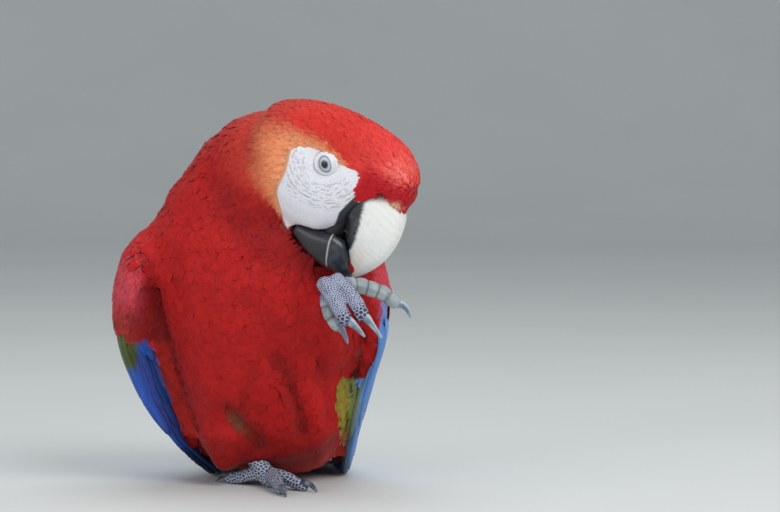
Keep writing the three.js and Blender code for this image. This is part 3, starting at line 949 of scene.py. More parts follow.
class Vanes:
    """Closed thin vanes of one grid size, gathered and joined into one piece."""

    def __init__(self) -> None:
        """Starts with none."""
        self.batches: list[tuple[Array, ...]] = []

    def add(
        self, top: Array, bottom: Array, colour: Array, vane: Array, uv: Array, lean: Array | None = None
    ) -> None:
        """Adds vanes.

        Args:
            top: their upper faces, (vanes, along, across, 3) in mm.
            bottom: the points under them, in the same order.
            colour: one linear colour for each point.
            vane: mm across the shaft, mm along it, and the feather's own number of 0 to 1.
            uv: each point's place on the unwrap.
            lean: directions that the shading leans towards, or none.
        """
        loop = np.concatenate([top, bottom[:, :, ::-1]], 2)
        twice = [np.concatenate([v, v[:, :, ::-1]], 2) for v in (colour, vane, uv)]
        normal = np.zeros_like(loop)
        if lean is not None:
            normal = np.concatenate([lean, -lean[:, :, ::-1]], 2)
        self.batches.append((loop, *twice, normal))

    def piece(self, name: str, soften: float = 0.0) -> bpy.types.Object:
        """All the vanes as one object.

        Args:
            name: the piece's name.
            soften: how far the shading leans from the vanes' own faces, 0 to 1.

        Returns:
            The object, with its colours, vane numbers and unwrap.
        """
        parts = [[], [], [], [], [], []]
        start = 0
        for loop, colour, vane, uv, normal in self.batches:
            count, along, round_ = loop.shape[:3]
            half = round_ // 2
            s = (np.arange(along - 1) * round_)[:, None, None]
            k = np.arange(round_)[None, :, None]
            after = (k + 1) % round_
            walls = np.concatenate([s + k, s + after, s + round_ + after, s + round_ + k], -1).reshape(-1, 4)
            i = np.arange(half - 1)[:, None]
            near = np.concatenate([i, round_ - 1 - i, round_ - 2 - i, i + 1], 1)
            far = near[:, ::-1] + (along - 1) * round_
            each = np.concatenate([walls, near, far])
            faces = ((np.arange(count) * along * round_)[:, None, None] + each).reshape(-1, 4)
            own = loop.reshape(-1, 3)
            a, b, c, d = (own[faces[:, j]] - own[0] for j in range(4))
            if (a * np.cross(b, c)).sum() + (a * np.cross(c, d)).sum() < 0:
                faces = faces[:, ::-1]
            parts[0].append(own)
            parts[1].append(start + faces)
            for kept, values in zip(parts[2:], (colour, vane, uv, normal)):
                kept.append(values.reshape(-1, values.shape[-1]))
            start += count * along * round_
        points, faces, colour, vane, uv, normal = (np.concatenate(p) for p in parts)
        mesh = bpy.data.meshes.new(name)
        mesh.vertices.add(len(points))
        mesh.vertices.foreach_set("co", (points * MM).astype(np.float32).ravel())
        mesh.loops.add(faces.size)
        mesh.loops.foreach_set("vertex_index", faces.astype(np.int32).ravel())
        mesh.polygons.add(len(faces))
        mesh.polygons.foreach_set("loop_start", np.arange(0, faces.size, 4, dtype=np.int32))
        mesh.update(calc_edges=True)
        mesh.shade_smooth()
        paint(mesh, colour, "plume")
        held = mesh.attributes.new("vane", "FLOAT_VECTOR", "POINT")
        held.data.foreach_set("vector", vane.astype(np.float32).ravel())
        flat = mesh.uv_layers.new(name=BAKE_MAP)
        flat.data.foreach_set("uv", uv[faces.ravel()].astype(np.float32).ravel())
        if soften:
            own = mesh_normals(mesh)
            given = np.linalg.norm(normal, axis=1) > 0.5
            mixed = np.where(given[:, None], unit(own * (1 - soften) + normal * soften), own)
            mesh.normals_split_custom_set_from_vertices(mixed.tolist())
        return placed(name, mesh)


# ---------- guides and skin ----------
def filling(points: Array) -> Array:
    """How wide the valleys between solids are filled near points, in mm."""
    return 1.5 + 5.0 * ease(HEAD.distance(points), 62, 95)


def closed_round(name: str, nodes: Sequence[str], voxel: float) -> bpy.types.Object:
    """One surface round CAD solids, with the valleys between them filled.

    Args:
        name: the new object's name.
        nodes: the solids.
        voxel: the size of its faces in mm.

    Returns:
        The object.
    """
    bm = joined_nodes(nodes)
    moves = filling(np.array([v.co for v in bm.verts]) / MM)
    for vert, way, grow in [(v, v.normal.copy(), g) for v, g in zip(bm.verts, moves)]:
        vert.co += way * grow * MM
    piece = settle(name, bm)
    remeshed(piece, voxel, rounds=4)
    points, ways = mesh_points(piece.data), mesh_normals(piece.data)
    move_points(piece.data, points - ways * (filling(points) - 0.3)[:, None])
    return remeshed(piece, voxel, rounds=3)


class Guides:
    """The surfaces that the coat lies on and the shells that part head, body and wings."""

    body_nodes = ("head", "neck", "trunk", "thigh_left", "thigh_right")
    arm_nodes = ("wing_left_arm", "wing_right_arm")
    flight_nodes = ("wing_left_flight", "wing_right_flight")
    horn_nodes = ("bill_upper", "bill_lower", "eye_left", "eye_right")

    def __init__(self) -> None:
        """Builds the coat's guide, with the valleys between the solids filled."""
        self.body = Shell(joined_nodes(self.body_nodes))
        self.horn = Shell(joined_nodes((*self.horn_nodes, "tongue")))
        wing_nodes = [[f"wing_{side.word}_{k}" for k in ("arm", "flight")] for side in Side]
        self.wings = [Shell(joined_nodes(nodes)) for nodes in wing_nodes]
        nodes = (*self.body_nodes, *self.arm_nodes, *self.horn_nodes, *self.flight_nodes)
        self.piece = closed_round("coat guide", nodes, 2.6)
        points, ways = mesh_points(self.piece.data), mesh_normals(self.piece.data)
        part = self.parting(points)
        crease = 2.6 * bell(part, 2.4) * ease(points[:, 1], 45, 20)
        crease *= (points[:, 0] > 0) | (points[:, 1] > 40)
        swell = 0.9 * waves(points * (1, 1, 0.5), 17, 41) * ease(HEAD.distance(points), 70, 100)
        points = points + ways * (swell - crease - furrowed(points))[:, None]
        move_points(self.piece.data, points - np.outer(self.sag(points), (0, 0, 1)))

    def parting(self, points: Array) -> Array:
        """How much farther points are from the wings than from the body, in mm."""
        gaps = (shell.height(points) for shell in self.wings)
        near = np.minimum(*(np.where(gap < -15, -gap, gap) for gap in gaps))  # a wing is nowhere 15 mm deep
        return near - self.body.height(points)

    @staticmethod
    def sag(points: Array) -> Array:
        """How far the loose coat of the belly hangs below the body, in mm."""
        x, y, z = points.T
        low = ease(z, 44, 20)
        left = 4 * bell(x + 35, 11) * bell(y + 2, 26)
        right = 5 * bell(x - 36, 20) * bell(y - 34, 30)
        return low * np.maximum(left, right)


class Skin:
    """The one skin under the coat, in one piece from the head to the wings and thighs."""

    voxel = 2.3
    depth_share, depth_more = 0.85, 0.4  # how much of the coat's depth lies over the skin, and mm besides
    bare_depth = 0.5  # mm inside the solids where no feathers grow
    wing_depth, wing_half = 3.0, 14.0  # the same on the wings, and half their thickness
    flesh = ("head", "neck", "trunk", "thigh_left", "thigh_right", "wing_left_arm", "wing_right_arm")

    def __init__(self, coat: Coat, guides: Guides) -> None:
        """Builds the skin inside the flesh nodes, by the depth of the coat."""
        piece = closed_round("skin", self.flesh, self.voxel)
        self.refine_face(piece)
        points, ways = mesh_points(piece.data), mesh_normals(piece.data)
        depth = coat.at_points(points)[1][:, 3] * self.depth_share + self.depth_more
        on_wing = np.minimum(*(wing.away(points) for wing in WINGS)) < self.wing_half
        depth = np.where(on_wing, np.minimum(depth, self.wing_depth), depth)
        away = FACE.outside(points)
        depth = self.bare_depth + (depth - self.bare_depth) * ease(away, -0.5, 6.0)
        folds, self.crease_shade = FACE.wrinkles(points)
        folds = folds * ease(away, 0.0, -2.0) * (1 - FACE.dark(HEAD.local(points)))
        points = points - ways * (depth - folds)[:, None]
        for eye in EYES:
            points = eye.sink(points)
        move_points(piece.data, points)
        self.piece = piece
        self.unwrap()
        part = guides.parting(self.points)
        self.shadow = bell(part, 3.5) * ease(self.points[:, 1], 50, 25)
        self.paint_marks()

    @staticmethod
    def refine_face(piece: bpy.types.Object) -> None:
        """Gives the bare face finer faces for its folds."""
        bm = bmesh.new()
        bm.from_mesh(piece.data)
        for round_ in range(2):
            points = np.array([v.co for v in bm.verts]) / MM
            near = FACE.outside(points) < (3.0 if round_ == 0 else 1.5)
            faces = [f for f in bm.faces if all(near[v.index] for v in f.verts)]
            edges = list({e for f in faces for e in f.edges})
            bmesh.ops.subdivide_edges(bm, edges=edges, cuts=1, use_grid_fill=True)
            bm.verts.index_update()
            points = np.array([v.co for v in bm.verts]) / MM
            near = FACE.outside(points) < 3.0
            smoothed(bm, [v for v in bm.verts if near[v.index]], 4)
        bmesh.ops.triangulate(bm, faces=[f for f in bm.faces if len(f.verts) > 4])
        bm.to_mesh(piece.data)
        bm.free()

    def unwrap(self) -> None:
        """Unwraps the skin by its own shape."""
        bpy.context.view_layer.objects.active = self.piece
        self.piece.select_set(True)
        self.piece.data.uv_layers.new(name=BAKE_MAP)
        bpy.ops.object.mode_set(mode="EDIT")
        bpy.ops.mesh.select_all(action="SELECT")
        bpy.ops.uv.smart_project(angle_limit=math.radians(66), island_margin=0.004)
        bpy.ops.object.mode_set(mode="OBJECT")
        self.piece.select_set(False)
        mesh = self.piece.data
        self.points = mesh_points(mesh)
        uv = np.empty(len(mesh.loops) * 2)
        mesh.uv_layers[BAKE_MAP].data.foreach_get("uv", uv)
        corner = np.empty(len(mesh.loops), int)
        mesh.loops.foreach_get("vertex_index", corner)
        self.flat = np.zeros((len(self.points), 2))
        self.flat[corner] = uv.reshape(-1, 2)
        self.tree = indexed(self.points)

    def places(self, points: Array) -> Array:
        """Where points lie on the unwrap, from the nearest point of the skin."""
        return self.flat[[self.tree.find(p)[1] for p in points]]

    def paint_marks(self) -> None:
        """Paints the skin with the markings of the coat over it, with painted shade under the coat and in the
        crease beside the wings.
        """
        colours = plumage_colour(self.points, skin=True)
        for wing in WINGS:
            near = wing.away(self.points) < 16
            colours[near] = wing.colour(self.points[near], *wing.coordinates(self.points[near]))
        bare = ease(FACE.outside(self.points), 0.5, -0.5)
        # painted shade: skin under the coat a fifth darker than the bare face, and darker still in the crease
        # between wing and body
        colours = colours * ((0.8 + 0.2 * bare) * (1 - 0.8 * self.shadow))[:, None]
        # painted shade in the folds of the bare face
        crease = self.crease_shade * bare * (1 - FACE.dark(HEAD.local(self.points)))
        paint(self.piece.data, blend(colours, linear(112, 112, 122), crease * 0.5))


# ---------- eyes ----------
@dataclass(frozen=True)
class Eye:
    """An eyeball with its lids: the ball's centre in the head, its radius and the opening, in mm."""

    side: Side
    ahead: float = 5.2
    above: float = 2.6
    depth: float = 19.0
    radius: float = 8.6
    opening: tuple[float, float] = (4.4, 5.8)
    tilt: float = 40.0

    @property
    def centre(self) -> Array:
        """The ball's centre in the row frame."""
        return HEAD.place((self.ahead, self.above, -self.side.value * self.depth))

    @property
    def gaze(self) -> Array:
        """The way the eye looks."""
        return HEAD.way((0, 0, -self.side.value))

    def axes(self) -> tuple[Array, Array]:
        """The opening's short and long way, tilted in the face."""
        turn = math.radians(self.tilt)
        short = HEAD.way((math.cos(turn), math.sin(turn), 0))
        long = HEAD.way((-math.sin(turn), math.cos(turn), 0))
        return short, long

    def sink(self, points: Array) -> Array:
        """Skin points drawn in behind the front of the eyeball."""
        rel = points - self.centre
        out = rel @ self.gaze
        beside = np.linalg.norm(rel - out[:, None] * self.gaze, axis=1)
        under = (out > 0) & (beside < self.radius - 0.8)
        want = np.sqrt(np.maximum((self.radius - 0.7) ** 2 - beside**2, 0))
        lower = np.where(under, np.minimum(out, want), out)
        return points + (lower - out)[:, None] * self.gaze

    def ball(self) -> bpy.types.Object:
        """The eyeball, its iris and pupil round the gaze."""
        bm = bmesh.new()
        bmesh.ops.create_uvsphere(bm, u_segments=72, v_segments=72, radius=self.radius * MM)
        turn = Vector((0, 0, 1)).rotation_difference(Vector(self.gaze)).to_matrix()
        bmesh.ops.rotate(bm, verts=bm.verts, matrix=turn)
        bmesh.ops.translate(bm, verts=bm.verts, vec=Vector(self.centre * MM))
        piece = settle(f"eyeball_{self.side.word}", bm)
        rel = mesh_points(piece.data) - self.centre
        short, long = self.axes()
        x, y = rel @ short, rel @ long
        beside = np.hypot(x, y)
        angle = np.arctan2(y, x)
        streak = 0.5 + 0.5 * np.sin(angle * 34 + 2 * np.sin(angle * 9))
        iris = blend(linear(180, 187, 199), linear(156, 165, 180), streak * 0.5)
        iris = blend(iris, linear(118, 128, 144), ease(beside, 3.5, 2.5) * 0.6)
        share = np.hypot(x / self.opening[0], y / self.opening[1])
        # painted shade round the edge of the opening, where the lids meet the ball
        rim = blend(iris, linear(112, 118, 132), ease(share, 0.92, 1.0))
        colour = blend(rim, linear(6, 7, 11), ease(np.hypot(x / 2.2, y / 2.85), 1.1, 0.98))
        paint(piece.data, blend(colour, COLOURS.bare, ease(share, 1.06, 1.12)))
        return piece

    def lids(self, shell: Shell) -> bpy.types.Object:
        """Soft rings of bare skin round the eye, run into the face.

        Args:
            shell: the face's outer surface.

        Returns:
            The lids as one object.
        """
        profile = (
            # how far out from the opening, height over the ball or face
            (-0.35, -0.9), (-0.2, 0.0), (0.0, 0.34), (0.3, 0.44), (0.65, 0.34), (0.95, 0.12), (1.25, 0.26),
            (1.6, 0.26), (1.95, 0.06), (2.3, 0.06), (2.7, -0.15), (3.2, -0.5), (3.7, -1.1),
        )  # fmt: skip
        short, long = self.axes()
        sides = 72
        angle = np.arange(sides) / sides * 2 * math.pi
        rings = []
        for out, height in profile:
            x, y = self.opening[0] + out * 1.25, self.opening[1] + out * 0.85
            wrinkle = 0.07 * np.sin(angle * 9 + out * 3) * ease(np.array([out]), 0.6, 1.6)
            flat = np.outer(np.cos(angle) * x, short) + np.outer(np.sin(angle) * y, long)
            beside = np.linalg.norm(flat, axis=1)
            on_ball = np.sqrt(np.maximum(self.radius**2 - beside**2, 4.0))
            face, _ = shell.nearest(self.centre + flat + self.gaze * self.radius)
            on_face = (face - self.centre) @ self.gaze - 0.3
            share = float(ease(np.array([out]), 0.2, 2.8)[0])
            level = np.maximum((on_ball + 0.15) * (1 - share) + on_face * share, on_ball + 0.1)
            rings.append(self.centre + flat + np.outer(level + height + wrinkle, self.gaze))
        piece = settle(f"lids_{self.side.word}", skin_rings(rings, closed=False))
        if (mesh_normals(piece.data) @ self.gaze).mean() < 0:
            piece.data.flip_normals()
        solid = piece.modifiers.new("thickness", "SOLIDIFY")
        solid.thickness, solid.offset = 0.5 * MM, -1
        smooth = piece.modifiers.new("round", "SUBSURF")
        smooth.levels = smooth.render_levels = 1
        applied(piece)
        points = mesh_points(piece.data)
        rel = points - self.centre
        beside = np.hypot((rel @ short) / self.opening[0], (rel @ long) / self.opening[1])
        colour = blend(linear(104, 110, 124), COLOURS.bare, ease(beside, 1.02, 1.1))
        crease = waves(points, 2.2, 5) * 0.5
        paint(piece.data, colour * (0.95 + 0.05 * crease[:, None]))
        return piece


EYES = tuple(Eye(side) for side in Side)


# ---------- wings ----------
MIDDLE = {"chest": -13.0, "rump": 3.0, "from": 30.0, "to": 120.0}


def middle_x(y: Array) -> Array:
    """The x of the bird's middle plane behind the foot."""
    return MIDDLE["chest"] + (MIDDLE["rump"] - MIDDLE["chest"]) * ease(y, MIDDLE["from"], MIDDLE["to"])


class Wing:
    """One folded wing: a bowed sheet from its lower, leading edge to the edge on the back."""

    spans = (
        # lower edge, upper edge, half thickness, outward bow
        ((-97, -36, 138), (-86, -20, 184), 9, 5),
        ((-103, -24, 104), (-76, 12, 199), 11, 14),
        ((-92, 4, 64), (-48, 70, 174), 11, 19),
        ((-70, 34, 28), (-26, 112, 134), 9, 17),
        ((-49, 72, 9), (-10, 150, 95), 7, 13),
        ((-40, 126, 8), (-2, 190, 66), 5, 9),
        ((-32, 195, 9.5), (0, 232, 43), 3.6, 5),
        ((-24, 270, 9.5), (0, 286, 25), 2.6, 2.5),
        ((-16, 338, 8.5), (-6, 342, 14), 1.5, 0.5),
    )
    red_line = ((0.2, 0.25, 0.28, 0.33, 0.37, 0.40, 0.43, 0.5), (-42, -38, -33, -31, -27, -22, -15, -10))
    borders = {
        # where the wing meets the body in front, as z and x, and the width of the strip of coverts there
        Side.RIGHT: ((41, 68, 95, 115, 135, 158, 171), (-56, -64, -71, -76, -81.5, -84, -91), 11.0),
        Side.LEFT: ((24, 40, 60, 84, 94), (50, 50.5, 51, 52, 55), 10.5),
    }

    def __init__(self, side: Side) -> None:
        """Lays out the sheet of one wing."""
        self.side = side
        lower, upper = (np.array([s[k] for s in self.spans], float) for k in (0, 1))
        at = (lower + upper) / 2
        across = unit(upper - lower)
        if side is Side.LEFT:
            at[:, 0] = 2 * middle_x(at[:, 1]) - at[:, 0]
            across[:, 0] *= -1
        self.outward = 1 if side is Side.LEFT else -1
        self.rim_top = 83.0 if side is Side.LEFT else 108.0
        self.sheet = Loft(
            at=at,
            wide=np.linalg.norm(upper - lower, axis=1) / 2,
            high=[s[2] for s in self.spans],
            side=across,
            bow=[s[3] for s in self.spans],
            caps=(9, 6),
        )
        grid_t, grid_w = np.meshgrid(np.linspace(0, 1, 90), np.linspace(-1, 1, 25), indexing="ij")
        self.grid_t, self.grid_w = grid_t.ravel(), grid_w.ravel()
        self.grid = self.point(self.grid_t, self.grid_w, np.zeros(self.grid_t.size))
        self.tree = indexed(self.grid)

    def past_border(self, points: Array) -> tuple[Array, Array]:
        """Which places lie in front between the border's ends, and how many mm beyond the border."""
        heights, line, _ = self.borders[self.side]
        x, y, z = points.T
        lined = (y < 40) & (z > heights[0]) & (z < heights[-1]) & (x * self.outward > 20)
        return lined, (x - np.interp(z, heights, line)) * self.outward

    def in_strip(self, points: Array, blur: float = 0.0) -> Array:
        """How far places belong to the strip of small coverts beside the body, 0 to 1."""
        lined, beyond = self.past_border(points)
        wide = self.borders[self.side][2]
        return lined * (beyond > -2.0 - 4 * blur) * ease(beyond, wide + 0.01 + blur, wide - blur)

    def point(self, t: Array, w: Array, out: Array) -> Array:
        """Points of the sheet.

        Args:
            t: places along the wing, 0 at the bend to 1 at the tip.
            w: places across it, -1 at the lower edge to 1 at the upper.
            out: mm outwards from the sheet's middle.

        Returns:
            The points in mm.
        """
        centre, _, across, upward = self.sheet.frames(t)
        wide = spline(self.sheet.wide, t)[:, 0]
        bow = spline(self.sheet.bow, t)[:, 0] * (1 - np.clip(w * w, 0, 1))
        return centre + across * (w * wide)[:, None] + upward * ((out + bow) * self.outward)[:, None]

    def thick(self, t: Array, w: Array) -> Array:
        """Half the wing's thickness at places."""
        return spline(self.sheet.high, t)[:, 0] * np.sqrt(np.clip(1 - w * w, 0, 1))

    def at_y(self, y: Array, w: Array) -> Array:
        """The places along the wing where a line across it reaches a y."""
        t = np.linspace(0, 1, 200)
        found = np.empty(len(y))
        for k, (want, over) in enumerate(zip(y, w)):
            line = self.point(t, np.full(200, over), np.zeros(200))[:, 1]
            found[k] = np.interp(want, np.maximum.accumulate(line), t)
        return found

    def run(self, start: Array, end: Array, w: Array, s: Array) -> Array:
        """Places along the wing of feathers.

        Args:
            start: the y of each root.
            end: the y of each tip.
            w: each feather's place across the wing.
            s: places along a feather, 0 to 1.

        Returns:
            An array of (feathers, places).
        """
        first, last = self.at_y(start, w), self.at_y(end, w)
        return first[:, None] + (last - first)[:, None] * s

    def span(self, values: Sequence, t: Array) -> Array:
        """One of the sheet's own measures at places along the wing, in their own shape."""
        return spline(values, t.ravel()).reshape(t.shape)

    def away(self, points: Array) -> Array:
        """How far points are from the sheet, in mm."""
        return np.array([self.tree.find(p)[2] for p in points])

    def coordinates(self, points: Array) -> tuple[Array, Array]:
        """Places across the wing, and mm out from its middle, of points near it."""
        index = np.array([self.tree.find(p)[1] for p in points], int)
        if not len(index):
            return np.zeros(0), np.zeros(0)
        upward = self.sheet.frames(self.grid_t[index])[3] * self.outward
        return self.grid_w[index], ((points - self.grid[index]) * upward).sum(1)

    def tangent(self, points: Array) -> Array:
        """The way from the bend to the tip near points."""
        index = np.array([self.tree.find(p)[1] for p in points], int)
        t, w = self.grid_t[index], self.grid_w[index]
        zero = np.zeros(len(t))
        before, after = (self.point(np.clip(t + step, 0, 1), w, zero) for step in (-0.01, 0.01))
        return unit(after - before)

    def colour(self, points: Array, w: Array, out: Array) -> Array:
        """The colour of coverts and skin on the wing.

        Args:
            points: places in the row frame, in mm.
            w: the same across the wing.
            out: mm out from its middle, less than 0 on the side next to the body.

        Returns:
            One linear colour for each place.
        """
        c = COLOURS
        x, y, z = points.T
        patchy = waves(points, 15, 3)
        red_end = self.red_end(w) + 5 * patchy
        band_end = red_end + 10 + 26 * ease(w, -0.9, 0.2)
        far = (x - middle_x(y)) * self.outward
        # painted sheen: pinkish highlights along the outer edge of the wing's top
        edge_sheen = bell(z - 148, 27) * ease(far, 70, 84)
        red = blend(c.scarlet, c.shoulder_sheen, np.clip(edge_sheen * (1 + 0.35 * patchy), 0, 1))
        red = blend(red, c.russet, ease(z, 142, 122) * ease(w, 0.0, -0.7) * 0.75)
        outer = blend(red, c.yellow, ease(y, red_end - 3, red_end + 5) * ease(w, -0.9, -0.6))
        outer = blend(outer, c.green, ease(y, band_end - 14, band_end - 5))
        outer = blend(outer, c.blue, ease(y, band_end - 2, band_end + 5))
        if self.side is Side.RIGHT:
            inner = blend(self.rim_colour(points), red, ease(z + 2 * patchy, 104, 108))
        else:
            high = blend(c.scarlet, c.sky * 0.8, ease(x, 79, 82) * ease(z, 165, 155))
            # painted shade under the bulge of the folded wing
            high = blend(high, c.furrow_shade, ease(z + 2 * patchy, 96, 84) * 0.7)
            inner = blend(self.rim_colour(points), high, ease(z + 2 * patchy, 78, 81))
        mixed = blend(inner, outer, ease(out, 2.0, 5.5))
        return blend(mixed, inner, self.in_strip(points, 1.0))

    def feathers_lies(self) -> list[Lie]:
        """How the small coverts lie on both faces of the arm."""
        lies = []
        for y in (-30, -10, 15, 40, 65):
            for w in (-0.9, -0.45, 0.1, 0.6, 0.9):
                t = self.at_y(np.array([float(y)]), np.array([w]))
                for face in (-1, 1):
                    out = self.thick(t, np.array([w])) * face
                    at = self.point(t, np.array([w]), out)[0]
                    grow = float(np.interp(y, [-35, 20], [0, 1]))
                    way = self.tangent(at[None])[0] - np.array([0, 0, 1.3 * (1 - grow)])
                    sizes = np.array([9, 4, 1.9, 2.4]) + np.array([8, 3.2, 1.1, 0.5]) * grow
                    lies.append(Lie(tuple(at), tuple(way), *sizes))
        for t in (0.18, 0.24, 0.3, 0.36, 0.42):
            spots = np.array([t, t + 0.02])
            first, after = self.rim(spots, self.seam(spots) - 7, np.zeros(2))
            lies.append(Lie(tuple(first), tuple(after - first), 9.5, 3.4, 1.8, 2.0))
        return lies

    def rim(self, t: Array, round_: Array, lift: Array) -> Array:
        """Points round the lower edge.

        Args:
            t: places along the wing.
            round_: mm round the section from the lower edge, more than 0 on the outer face.
            lift: mm outwards from the wing.

        Returns:
            The points in mm.
        """
        wide, high = spline(self.sheet.wide, t)[:, 0], spline(self.sheet.high, t)[:, 0]
        angle = np.linspace(-1.5, 1.5, 61)
        step = np.hypot(wide[:, None] * np.sin(angle), high[:, None] * np.cos(angle)) * (angle[1] - angle[0])
        run = np.cumsum(step, axis=1)
        run -= run[:, 30:31]
        turn = np.array([np.interp(want, line, angle) for want, line in zip(round_, run)])
        return self.point(t, -np.cos(turn) * (1 + lift / wide), np.sin(turn) * (high + lift))

    def red_end(self, w: Array) -> Array:
        """The y where the red coverts of the outer face end, at places across the wing."""
        return -20 + 68 * ease(w, -1.0, 0.9)

    def rim_colour(self, points: Array, past: Array | None = None) -> Array:
        """The colour of the long feathers round the lower edge.

        Args:
            points: places in the row frame, in mm.
            past: how far round from the seam each feather lies, in mm, or none to tell it from the place.
        """
        c = COLOURS
        x, _, z = points.T
        if self.side is Side.RIGHT:
            line = np.interp(z, [23, 45, 66, 81, 106], [-62, -71, -75.5, -81, -88])
            past = line - x if past is None else past
            tint = blend(c.crown, c.blue, ease(past, -0.8, 0.8))
            tint = blend(tint, c.violet, ease(past, 10, 20) * 0.35)
            tint = blend(tint, c.green, ease(x, -94, -98) * ease(z, 84, 91))
            return blend(tint, c.night, ease(z, 36, 14) * 0.8)
        past = x - 62 if past is None else past
        tint = blend(c.olive, c.sky * 0.8, ease(past, -1.5, 1.5))
        tint = blend(tint, c.sky, ease(past, 9, 12))
        tint = blend(tint, c.leaf, ease(past, -9, -2) * ease(past, 2, -1) * 0.6)
        return blend(tint, c.orange * 0.7, ease(z, 42, 32) * ease(past, -4, -8) * 0.8)

    def seam(self, t: Array) -> Array:
        """How far round the lower edge the two colours of the long feathers meet, in mm."""
        if self.side is Side.LEFT:
            return np.full(np.shape(t), -5.0)
        return np.interp(t, *self.red_line)


WINGS = tuple(Wing(side) for side in Side)


